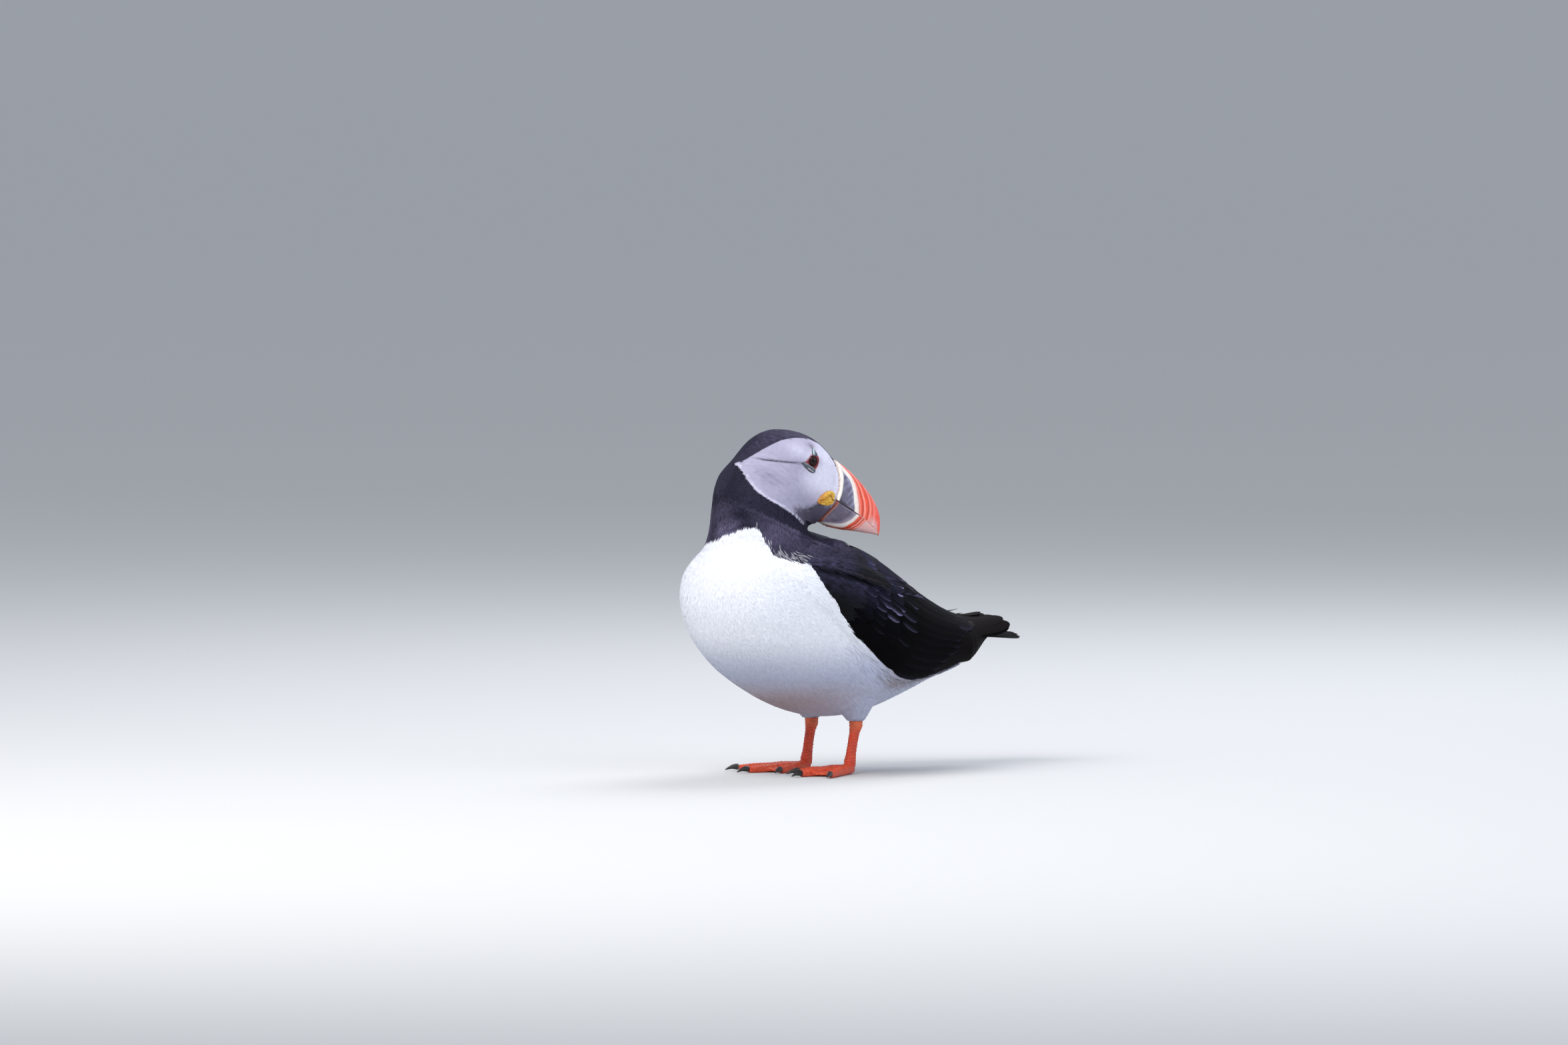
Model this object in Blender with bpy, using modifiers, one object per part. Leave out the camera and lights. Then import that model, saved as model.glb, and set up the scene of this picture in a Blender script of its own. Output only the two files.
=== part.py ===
"""Atlantic puffin (Fratercula arctica), adult in summer plumage, looking back over its left shoulder.

Life size. Units are metres, +Z is up and the body faces -Y, so the bird's left side is +X. The soles stand on z = 0.
Head, neck and trunk are modelled whole from lofted sections, made one smooth surface, and parted with thin
cuts. Wings, tail, thighs, bill, eyes, shanks and feet are closed pieces of their own, let in with a thin gap.
"""

import math

import bmesh
import bpy
import numpy as np
from mathutils import Matrix, Vector

GAP = 0.0003  # clearance between neighbouring solids
MERGE = 0.00003  # points closer than this are one

# Body: voxel size of the joined surface, smoothing passes, and how many triangles it keeps.
BODY_VOXEL = 0.0020
BODY_SMOOTHING = 14
BODY_TRIANGLES = 2400

# Trunk frame: tailwards along a spine that falls to the tail.
# Stations: distance along the spine, top, bottom, half width.
TRUNK_CENTRE = Vector((0.0, -0.012, 0.082))
TRUNK_TILT = math.radians(28.0)
TRUNK_STATIONS = [
    (-0.0800, -0.006, -0.014, 0.006),
    (-0.0775, 0.002, -0.021, 0.017),
    (-0.0720, 0.012, -0.0295, 0.027),
    (-0.0640, 0.021, -0.0375, 0.0345),
    (-0.0520, 0.030, -0.0450, 0.0408),
    (-0.0350, 0.0385, -0.0502, 0.0448),
    (-0.0150, 0.0435, -0.0515, 0.0465),
    (0.0050, 0.0440, -0.0500, 0.0462),
    (0.0250, 0.0422, -0.0450, 0.0440),
    (0.0450, 0.0390, -0.0330, 0.0392),
    (0.0620, 0.0362, -0.0160, 0.0325),
    (0.0780, 0.0345, 0.0020, 0.0260),
    (0.0920, 0.0345, 0.0170, 0.0200),
    (0.1020, 0.0355, 0.0270, 0.0140),
    (0.1070, 0.0340, 0.0305, 0.0070),
]

# Neck: level ovals. Stations: x, y, z, half width, half depth.
NECK_STATIONS = [
    (0.000, -0.0440, 0.090, 0.0330, 0.0310),
    (0.000, -0.0480, 0.102, 0.0335, 0.0320),
    (0.000, -0.0500, 0.113, 0.0318, 0.0310),
    (0.000, -0.0508, 0.123, 0.0280, 0.0278),
    (0.001, -0.0510, 0.132, 0.0258, 0.0258),
    (0.002, -0.0512, 0.142, 0.0254, 0.0254),
    (0.003, -0.0515, 0.154, 0.0245, 0.0245),
    (0.003, -0.0520, 0.163, 0.0210, 0.0210),
    (0.003, -0.0520, 0.170, 0.0140, 0.0140),
    (0.003, -0.0520, 0.174, 0.0050, 0.0050),
]

# Head frame: origin at the middle of the gape's corners, +u to the bill's tip side, +w to the bird's left,
# +v up. The head is turned far round to the left and bowed. Stations: u, top, bottom, half width.
HEAD_ORIGIN = Vector((0.0200, -0.0113, 0.1470))
HEAD_YAW = math.radians(150.0)
HEAD_BOW = math.radians(25.0)
HEAD_STATIONS = [
    (0.0030, 0.0030, -0.0090, 0.0030),
    (0.0000, 0.0080, -0.0125, 0.0070),
    (-0.0040, 0.0140, -0.0150, 0.0092),
    (-0.0090, 0.0186, -0.0172, 0.0110),
    (-0.0150, 0.0220, -0.0188, 0.0134),
    (-0.0220, 0.0248, -0.0200, 0.0158),
    (-0.0300, 0.0260, -0.0210, 0.0178),
    (-0.0380, 0.0250, -0.0215, 0.0187),
    (-0.0460, 0.0224, -0.0210, 0.0180),
    (-0.0530, 0.0174, -0.0190, 0.0150),
    (-0.0580, 0.0090, -0.0150, 0.0100),
    (-0.0610, -0.0020, -0.0080, 0.0035),
]

# Bill, in the head frame. Each row is one line across the bill, from its base to its tip:
# culmen (u, v), gape (u, v), keel of the lower mandible (u, v), half width at the gape, forward bow.
BILL_ROWS = [
    (-0.0140, 0.0190, -0.0040, 0.0010, -0.0070, -0.0134, 0.0070, 0.0020),
    (-0.0115, 0.0199, -0.0015, 0.0006, -0.0042, -0.0139, 0.0092, 0.0034),
    (-0.0095, 0.0199, 0.0015, 0.0000, -0.0022, -0.0142, 0.0094, 0.0034),
    (-0.0060, 0.0194, 0.0075, -0.0007, 0.0030, -0.0138, 0.0080, 0.0030),
    (-0.0010, 0.0181, 0.0130, -0.0015, 0.0090, -0.0122, 0.0068, 0.0028),
    (0.0060, 0.0157, 0.0175, -0.0023, 0.0145, -0.0106, 0.0058, 0.0026),
    (0.0130, 0.0123, 0.0210, -0.0032, 0.0190, -0.0093, 0.0048, 0.0022),
    (0.0190, 0.0085, 0.0240, -0.0042, 0.0226, -0.0083, 0.0037, 0.0016),
    (0.0238, 0.0038, 0.0262, -0.0051, 0.0254, -0.0075, 0.0026, 0.0009),
    (0.0268, -0.0017, 0.0277, -0.0059, 0.0270, -0.0070, 0.0016, 0.0003),
]
BILL_TIP = (0.0283, -0.0066)
LOWER_TIP = (0.0275, -0.0067)
BILL_SHARES = [0.0, 0.25, 0.5, 0.75, 0.93, 1.0]  # from the gape to the culmen or keel
UPPER_WIDTHS = [1.0, 0.93, 0.80, 0.60, 0.40, 0.22]  # half widths there, as shares of that at the gape
LOWER_WIDTHS = [0.97, 0.90, 0.80, 0.66, 0.48, 0.30]
LOWER_BOW = 0.55  # the lower mandible's forward bow as a share of the upper's
TIP_SIZE = 0.25  # the blunt tip as a share of the last row

# Eyes, orbital plates and gape rosettes, in the head frame for the left side.
EYE_RADIUS = 0.0052
EYE_CENTRE = (-0.0236, 0.0098, 0.0142)
EYE_RINGS = 8
EYE_SEGMENTS = 12
ROOM_SEGMENTS = 14  # the eye's room is faceted unlike the eye
ROSETTE_CENTRE = (-0.0069, -0.0006)
ROSETTE_SIZE = (0.0048, 0.0043, 0.0019)
UPPER_PLATE = [(-0.0260, 0.0152), (-0.0212, 0.0174), (-0.0212, 0.0190), (-0.0250, 0.0222), (-0.0264, 0.0218)]
LOWER_PLATE = [(-0.0298, 0.0105), (-0.0272, 0.0086), (-0.0228, 0.0080), (-0.0198, 0.0088), (-0.0202, 0.0112)]
PLATE_RISE = 0.0014
PLATE_ROOT = 0.0015  # depth below the face, before it is cut to fit
PLATE_RIM = 0.0005  # height of the plate's outer rim
PLATE_TOP = 0.62  # the plate's top as a share of its rim

# Wings lie on the trunk. Stations: distance along the spine, upper edge and lower edge as angles round the
# trunk from its back, thickness, and lift of the underside off the trunk's own section.
WING_STATIONS = [
    (-0.052, 56.0, 74.0, 0.0012, 0.0),
    (-0.047, 46.0, 80.0, 0.0028, 0.0),
    (-0.038, 34.0, 86.0, 0.0040, 0.0),
    (-0.022, 25.0, 93.0, 0.0046, 0.0),
    (-0.002, 20.0, 100.0, 0.0050, 0.0),
    (0.020, 16.0, 106.0, 0.0050, 0.0),
    (0.040, 13.0, 113.0, 0.0046, 0.0006),
    (0.060, 10.0, 114.0, 0.0042, 0.0030),
    (0.078, 7.0, 104.0, 0.0038, 0.0062),
    (0.092, 5.0, 82.0, 0.0032, 0.0092),
    (0.102, 8.0, 62.0, 0.0026, 0.0108),
    (0.109, 20.0, 44.0, 0.0016, 0.0114),
]
WING_ACROSS = 7
WING_ALONG = 15
WING_RIM = 0.0021  # thickness at the wing's edges
WING_CROWN = 0.55  # how fast the wing thickens from its rims: a smaller power is fuller
WING_TUCK = 0.0010  # how far the wing's underside starts inside the trunk, before it is cut to fit
WING_END = 0.094  # behind this the wing keeps the trunk's last section

# Tail, flat and round-ended: distance behind the rump, half width, thickness, height, measured in world y.
TAIL_STATIONS = [
    (0.0780, 0.0100, 0.0040, 0.0730),
    (0.0900, 0.0130, 0.0036, 0.0724),
    (0.1020, 0.0165, 0.0030, 0.0716),
    (0.1120, 0.0185, 0.0024, 0.0706),
    (0.1205, 0.0170, 0.0018, 0.0697),
    (0.1255, 0.0125, 0.0014, 0.0690),
    (0.1280, 0.0065, 0.0012, 0.0687),
]
TAIL_ARCH = 0.26

# Legs, for the left side. The right mirrors them. Rows: x, y, z, half width, half depth.
THIGH_STATIONS = [
    (0.0200, -0.0010, 0.0600, 0.0150, 0.0200),
    (0.0200, 0.0000, 0.0460, 0.0135, 0.0170),
    (0.0192, 0.0020, 0.0370, 0.0090, 0.0110),
    (0.0188, 0.0030, 0.0310, 0.0055, 0.0066),
    (0.0186, 0.0033, 0.0282, 0.0038, 0.0046),
]
SHANK_STATIONS = [
    (0.0186, 0.0034, 0.0305, 0.0024, 0.0026),
    (0.0186, 0.0036, 0.0278, 0.0031, 0.0038),
    (0.0185, 0.0036, 0.0250, 0.0030, 0.0036),
    (0.0184, 0.0026, 0.0215, 0.0021, 0.0029),
    (0.0183, 0.0014, 0.0160, 0.0019, 0.0028),
    (0.0182, 0.0004, 0.0105, 0.0021, 0.0029),
    (0.0182, -0.0004, 0.0065, 0.0027, 0.0033),
    (0.0182, -0.0004, 0.0038, 0.0026, 0.0031),
]
FOOT_HEEL = Vector((0.0182, 0.0000, 0.0036))
FOOT_TURN = math.radians(6.0)  # toes point a little outwards
# Toes: direction outwards, length to the claw, bend. Inner, middle and outer toe.
TOES = [(-25.0, 0.0290, -2.0), (0.0, 0.0380, 0.0), (24.0, 0.0370, 3.0)]
TOE_RADIUS = 0.0025
TOE_TAPER = 0.42
TOE_SHARES = (0.0, 0.18, 0.36, 0.55, 0.74, 0.90, 1.0)
TOE_JOINTS = (2, 4)  # these points are a little thicker
WEB_HEIGHT = 0.0019
WEB_THICKNESS = 0.0012
WEB_HOLLOW = 0.13
FOOT_VOXEL = 0.00055
FOOT_SMOOTHING = 2
FOOT_TRIANGLES = 310
CLAW_LENGTH = 0.0072
CLAW_RADIUS = 0.0015
CLAW_TAPER = 0.86
CLAW_DEPTH = 1.15  # height of the claw's section over its width

# Where the whole body is parted: a point and the direction of the upper part. The first is in the head
# frame, the second in the world, the third in the trunk frame.
HEAD_CUT = (Vector((-0.0350, 0.0, -0.0180)), Vector((-0.12, 0.0, 1.0)))
NECK_CUT = (Vector((0.0, -0.0500, 0.1195)), Vector((0.0, -0.22, 0.975)))
BACK_CUT = (Vector((0.0, 0.0, 0.0290)), Vector((-0.030, 0.0, 1.0)))

WHITE = (0.86, 0.87, 0.90, 1.0)
GREY = (0.62, 0.62, 0.66, 1.0)
BLACK = (0.018, 0.018, 0.024, 1.0)
ORANGE = (0.72, 0.13, 0.03, 1.0)
YELLOW = (0.75, 0.45, 0.06, 1.0)
SLATE = (0.10, 0.12, 0.16, 1.0)
EYE_BROWN = (0.035, 0.014, 0.010, 1.0)
LEG_ORANGE = (0.70, 0.16, 0.03, 1.0)
CLAW_BLACK = (0.02, 0.018, 0.016, 1.0)


def material(name, colour, roughness):
    made = bpy.data.materials.new(name)
    made.use_nodes = True
    shader = made.node_tree.nodes["Principled BSDF"]
    shader.inputs["Base Color"].default_value = colour
    shader.inputs["Roughness"].default_value = roughness
    shader.inputs["Metallic"].default_value = 0.0
    made.diffuse_color = colour
    return made


def frame_matrix(origin, forward, up):
    """A frame with its first axis forward, its second to the left and its third up."""
    left = up.cross(forward)
    rotation = Matrix((forward, left, up)).transposed().to_4x4()
    return Matrix.Translation(origin) @ rotation


def trunk_frame():
    """Tailwards, to the bird's right, and up across the spine."""
    tailwards = Vector((0.0, math.cos(TRUNK_TILT), -math.sin(TRUNK_TILT)))
    upwards = Vector((0.0, math.sin(TRUNK_TILT), math.cos(TRUNK_TILT)))
    return frame_matrix(TRUNK_CENTRE, tailwards, upwards)


def head_frame():
    heading = Vector((math.sin(HEAD_YAW), -math.cos(HEAD_YAW), 0.0))
    level_up = Vector((0.0, 0.0, 1.0))
    forward = heading * math.cos(HEAD_BOW) - level_up * math.sin(HEAD_BOW)
    upwards = heading * math.sin(HEAD_BOW) + level_up * math.cos(HEAD_BOW)
    return frame_matrix(HEAD_ORIGIN, forward, upwards)


def interpolate(table, at):
    """The other columns of a table at one value of its rising or falling first column."""
    rows = np.array(table, float)
    order = np.argsort(rows[:, 0])
    x = rows[order, 0]
    y = rows[order, 1:]
    slope = np.gradient(y, x, axis=0)
    i = int(np.clip(np.searchsorted(x, at) - 1, 0, len(x) - 2))
    step = x[i + 1] - x[i]
    t = (at - x[i]) / step
    return (
        y[i] * (2 * t**3 - 3 * t**2 + 1)
        + slope[i] * step * (t**3 - 2 * t**2 + t)
        + y[i + 1] * (3 * t**2 - 2 * t**3)
        + slope[i + 1] * step * (t**3 - t**2)
    )


def mesh_object(name, verts, faces, group):
    mesh = bpy.data.meshes.new(name)
    mesh.from_pydata([tuple(v) for v in verts], [], faces)
    mesh.validate()
    made = bpy.data.objects.new(name, mesh)
    group.objects.link(made)
    tidy = bmesh.new()
    tidy.from_mesh(mesh)
    bmesh.ops.remove_doubles(tidy, verts=tidy.verts, dist=MERGE)
    bmesh.ops.recalc_face_normals(tidy, faces=tidy.faces)
    tidy.to_mesh(mesh)
    tidy.free()
    return made


def loft(name, rings, group):
    """A closed solid through rings of the same count of points, with flat ends."""
    count = len(rings[0])
    verts = [point for ring in rings for point in ring]
    faces = []
    for i in range(len(rings) - 1):
        for j in range(count):
            k = (j + 1) % count
            faces.append((i * count + j, i * count + k, (i + 1) * count + k, (i + 1) * count + j))
    faces.append(tuple(range(count)))
    last = (len(rings) - 1) * count
    faces.append(tuple(range(last + count - 1, last - 1, -1)))
    return mesh_object(name, verts, faces, group)


def section_ring(frame, along, top, bottom, half_width, count=28):
    """An oval section in a frame's left-up plane."""
    middle = (top + bottom) / 2
    rise = (top - bottom) / 2
    ring = []
    for j in range(count):
        angle = 2 * math.pi * j / count
        ring.append(frame @ Vector((along, half_width * math.sin(angle), middle + rise * math.cos(angle))))
    return ring


def section_loft(name, frame, table, group, steps):
    first, last = table[0][0], table[-1][0]
    rings = []
    for i in range(steps + 1):
        share = 0.5 - 0.5 * math.cos(math.pi * i / steps)
        along = first + (last - first) * share
        rings.append(section_ring(frame, along, *interpolate(table, along)))
    return loft(name, rings, group)


def oval_loft(name, rows, group, count):
    """A closed solid through level ovals."""
    rings = []
    for x, y, z, half_width, half_depth in rows:
        ring = []
        for j in range(count):
            angle = 2 * math.pi * j / count
            ring.append((x + half_width * math.sin(angle), y + half_depth * math.cos(angle), z))
        rings.append(ring)
    return loft(name, rings, group)


def apply_modifiers(target):
    """Replaces an object's mesh with what its modifiers make of it."""
    bpy.context.view_layer.update()
    graph = bpy.context.evaluated_depsgraph_get()
    baked = bpy.data.meshes.new_from_object(target.evaluated_get(graph))
    target.modifiers.clear()
    target.data = baked


def boolean(target, cutter, operation):
    change = target.modifiers.new("cut", "BOOLEAN")
    change.operation = operation
    change.solver = "EXACT"
    change.use_hole_tolerant = True
    change.object = cutter
    apply_modifiers(target)
    clean(target)


def clean(target):
    tidy = bmesh.new()
    tidy.from_mesh(target.data)
    bmesh.ops.remove_doubles(tidy, verts=tidy.verts, dist=MERGE)
    bmesh.ops.dissolve_degenerate(tidy, dist=MERGE, edges=tidy.edges)
    bmesh.ops.triangulate(tidy, faces=tidy.faces)
    bmesh.ops.recalc_face_normals(tidy, faces=tidy.faces)
    tidy.to_mesh(target.data)
    tidy.free()


def joined_surface(name, solids, voxel, smoothing, triangles, group):
    """One smooth closed surface round several overlapping solids."""
    joined = bmesh.new()
    for solid in solids:
        joined.from_mesh(solid.data)
    mesh = bpy.data.meshes.new(name)
    joined.to_mesh(mesh)
    joined.free()
    made = bpy.data.objects.new(name, mesh)
    group.objects.link(made)
    remesh = made.modifiers.new("one surface", "REMESH")
    remesh.mode = "VOXEL"
    remesh.voxel_size = voxel
    smooth = made.modifiers.new("smooth", "SMOOTH")
    smooth.factor = 0.5
    smooth.iterations = smoothing
    apply_modifiers(made)
    thin_out(made, triangles)
    return made


def thin_out(target, triangles):
    tidy = bmesh.new()
    tidy.from_mesh(target.data)
    bmesh.ops.triangulate(tidy, faces=tidy.faces)
    count = len(tidy.faces)
    tidy.to_mesh(target.data)
    tidy.free()
    fewer = target.modifiers.new("fewer triangles", "DECIMATE")
    fewer.ratio = min(1.0, triangles / count)
    apply_modifiers(target)
    clean(target)


def swollen(name, source, distance, group):
    """A copy of a solid grown outwards along its vertex normals, as a cutter."""
    mesh = source.data.copy()
    made = bpy.data.objects.new(name, mesh)
    group.objects.link(made)
    grown = bmesh.new()
    grown.from_mesh(mesh)
    bmesh.ops.recalc_face_normals(grown, faces=grown.faces)
    grown.normal_update()
    for vert in grown.verts:
        vert.co += vert.normal * distance * vert.calc_shell_factor()
    grown.to_mesh(mesh)
    grown.free()
    return made


def keep_side(source, name, point, normal, group):
    """The part of a solid on the positive side of a plane, closed by a flat face."""
    mesh = source.data.copy()
    made = bpy.data.objects.new(name, mesh)
    group.objects.link(made)
    part = bmesh.new()
    part.from_mesh(mesh)
    everything = part.verts[:] + part.edges[:] + part.faces[:]
    cut = bmesh.ops.bisect_plane(
        part, geom=everything, plane_co=point, plane_no=normal, clear_inner=True, clear_outer=False
    )
    rim = [item for item in cut["geom_cut"] if isinstance(item, bmesh.types.BMEdge)]
    bmesh.ops.holes_fill(part, edges=rim)
    part.to_mesh(mesh)
    part.free()
    clean(made)
    return made


def bill_ring(frame, row, upper):
    """One section of the upper or lower mandible, bowed forwards in the middle of the bill."""
    culmen_u, culmen_v, gape_u, gape_v, keel_u, keel_v, half_width, bow = row
    edge = culmen_u, culmen_v
    if not upper:
        edge = keel_u, keel_v
    lift = GAP / 2 if upper else -GAP / 2
    ring = []
    widths = UPPER_WIDTHS if upper else LOWER_WIDTHS
    if not upper:
        bow *= LOWER_BOW
    for side in (1, -1):
        points = []
        for share, width in zip(BILL_SHARES, widths):
            forward = bow * 4 * share * (1 - share)
            u = gape_u + (edge[0] - gape_u) * share + forward
            v = gape_v + lift + (edge[1] - gape_v - lift) * share
            w = side * half_width * width
            points.append(frame @ Vector((u, w, v)))
        ring.extend(points if side == 1 else points[::-1])
    return ring


def mandible(name, frame, upper, group):
    rings = [bill_ring(frame, row, upper) for row in BILL_ROWS]
    tip = BILL_TIP if upper else LOWER_TIP
    last = rings[-1]
    middle = sum(last, Vector()) / len(last)
    point = frame @ Vector((tip[0], 0.0, tip[1]))
    rings.append([point + (vertex - middle) * TIP_SIZE for vertex in last])
    return loft(name, rings, group)


def wing(name, frame, side, group):
    """A closed blade lying along the trunk's side, its underside just inside the trunk's section."""
    rings = []
    first, last = WING_STATIONS[0][0], WING_STATIONS[-1][0]
    for i in range(WING_ALONG + 1):
        along = first + (last - first) * i / WING_ALONG
        upper_edge, lower_edge, thickness, lift = interpolate(WING_STATIONS, along)
        section = interpolate(TRUNK_STATIONS, min(along, WING_END))
        rings.append(wing_ring(frame, along, section, upper_edge, lower_edge, thickness, lift, side))
    return loft(name, rings, group)


def wing_ring(frame, along, section, upper_edge, lower_edge, thickness, lift, side):
    top, bottom, half_width = section
    middle = (top + bottom) / 2
    rise = (top - bottom) / 2
    outer, inner = [], []
    for j in range(WING_ACROSS + 1):
        share = j / WING_ACROSS
        angle = math.radians(upper_edge + (lower_edge - upper_edge) * share)
        crown = math.sin(math.pi * share) ** WING_CROWN
        over = WING_RIM + max(thickness - WING_RIM, 0.0) * crown
        for row, extra in ((outer, lift + over), (inner, lift - WING_TUCK + min(lift, WING_RIM / 5))):
            across = side * (half_width + extra) * math.sin(angle)
            row.append(frame @ Vector((along, across, middle + (rise + extra) * math.cos(angle))))
    return outer + inner[::-1]


def tail(group):
    rings = []
    for y, half_width, thickness, height in TAIL_STATIONS:
        ring = []
        for j in range(16):
            angle = 2 * math.pi * j / 16
            x = half_width * math.sin(angle)
            arch = -TAIL_ARCH * x * x / half_width
            ring.append((x, y, height + arch + thickness / 2 * math.cos(angle)))
        rings.append(ring)
    return loft("tail", rings, group)


def ellipsoid(name, frame, centre, radii, group, segments=EYE_SEGMENTS):
    mesh = bpy.data.meshes.new(name)
    ball = bmesh.new()
    bmesh.ops.create_uvsphere(ball, u_segments=segments, v_segments=EYE_RINGS, radius=1.0)
    shape = Matrix.Diagonal((radii[0], radii[1], radii[2], 1.0))
    ball.transform(frame @ Matrix.Translation(Vector(centre)) @ shape)
    bmesh.ops.recalc_face_normals(ball, faces=ball.faces)
    ball.to_mesh(mesh)
    ball.free()
    made = bpy.data.objects.new(name, mesh)
    group.objects.link(made)
    return made


def face_frame(frame, u, v, side, skin):
    """A frame lying on the side of the head: first axis along the bill, third out of the face."""
    start = frame @ Vector((u, side * 2 * HEAD_STATIONS[6][3], v))
    axes = frame.to_3x3()
    _, hit, out, _ = skin.ray_cast(start, axes @ Vector((0.0, -side, 0.0)))
    out = (out + axes @ Vector((0.0, side, 0.0))).normalized()
    forward = axes @ Vector((1.0, 0.0, 0.0))
    forward = (forward - out * forward.dot(out)).normalized()
    return frame_matrix(hit, forward, out)


def face_plate(name, frame, outline, side, skin, skin_room, group):
    """A thin horny plate standing a little above the face, its underside following the head."""
    middle_u = sum(u for u, _ in outline) / len(outline)
    middle_v = sum(v for _, v in outline) / len(outline)
    place = face_frame(frame, middle_u, middle_v, side, skin)
    rings = []
    for height, size in ((-PLATE_ROOT, 1.0), (PLATE_RIM, 1.0), (PLATE_RISE, PLATE_TOP)):
        ring = [((u - middle_u) * size, -side * (v - middle_v) * size, height) for u, v in outline]
        rings.append([place @ Vector(point) for point in ring])
    made = loft(name, rings, group)
    boolean(made, skin_room, "DIFFERENCE")
    return made


def toe_points(angle, length, bend):
    """Points along a toe's axis from the heel to the root of the claw, with its joints."""
    points = []
    for share in TOE_SHARES:
        turn = math.radians(angle + bend * share)
        forward = Vector((math.sin(turn), -math.cos(turn), 0.0))
        point = FOOT_HEEL + forward * length * share
        points.append(Vector((point.x, point.y, TOE_RADIUS * (1.0 - TOE_TAPER * share))))
    return points


def toe_solid(points, group):
    rings = []
    for i, point in enumerate(points):
        ahead = points[min(i + 1, len(points) - 1)] - points[max(i - 1, 0)]
        ahead.normalize()
        across = ahead.cross(Vector((0.0, 0.0, 1.0))).normalized()
        share = i / (len(points) - 1)
        joint = 1.12 if i in TOE_JOINTS else 0.96
        radius = TOE_RADIUS * (1.12 - TOE_TAPER * share) * joint
        ring = []
        for j in range(12):
            angle = 2 * math.pi * j / 12
            ring.append(point + across * radius * math.sin(angle) + Vector((0, 0, radius * math.cos(angle))))
        rings.append(ring)
    return loft("toe", rings, group)


def foot(name, cutters, group):
    """Three toes joined by thin webs with hollowed front edges, flat-soled on the floor."""
    toes = [toe_points(*toe) for toe in TOES]
    solids = [toe_solid(points, cutters) for points in toes]
    for first, second in ((0, 1), (1, 2)):
        edge = []
        for i in range(7):
            share = i / 6
            hollow = 1.0 - WEB_HOLLOW * math.sin(math.pi * share)
            a, b = toes[first][-2], toes[second][-2]
            point = FOOT_HEEL + (a + (b - a) * share - FOOT_HEEL) * hollow
            edge.append(Vector((point.x, point.y, WEB_HEIGHT)))
        outline = [Vector((FOOT_HEEL.x, FOOT_HEEL.y, 2 * WEB_THICKNESS))] + edge
        low = [point - Vector((0, 0, WEB_THICKNESS)) for point in outline]
        count = len(outline)
        faces = [tuple(range(count)), tuple(range(2 * count - 1, count - 1, -1))]
        for j in range(count):
            k = (j + 1) % count
            faces.append((j, count + j, count + k, k))
        solids.append(mesh_object("web", outline + low, faces, cutters))
    joined = joined_surface(name + "_joined", solids, FOOT_VOXEL, FOOT_SMOOTHING, FOOT_TRIANGLES, cutters)
    made = keep_side(joined, name, Vector((0, 0, 0.0)), Vector((0, 0, 1)), group)
    return made, toes


def claw(name, root, forward, group):
    rings = []
    across = forward.cross(Vector((0.0, 0.0, 1.0))).normalized()
    for i in range(5):
        share = i / 4
        radius = CLAW_RADIUS * (1.0 - CLAW_TAPER * share**1.3)
        arch = 0.0020 + 0.0008 * math.sin(math.pi * share) - 0.0016 * share
        height = max(radius * CLAW_DEPTH + GAP, arch)
        centre = root + forward * (GAP + CLAW_LENGTH * share)
        ring = []
        for j in range(6):
            angle = 2 * math.pi * j / 6
            lift = Vector((0, 0, CLAW_DEPTH * radius * math.cos(angle)))
            ring.append(Vector((centre.x, centre.y, height)) + across * radius * math.sin(angle) + lift)
        rings.append(ring)
    return loft(name, rings, group)


def mirrored(source, name, group):
    """The same solid reflected to the bird's right side."""
    mesh = source.data.copy()
    mesh.transform(Matrix.Diagonal((-1.0, 1.0, 1.0, 1.0)))
    mesh.flip_normals()
    made = bpy.data.objects.new(name, mesh)
    group.objects.link(made)
    return made


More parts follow.
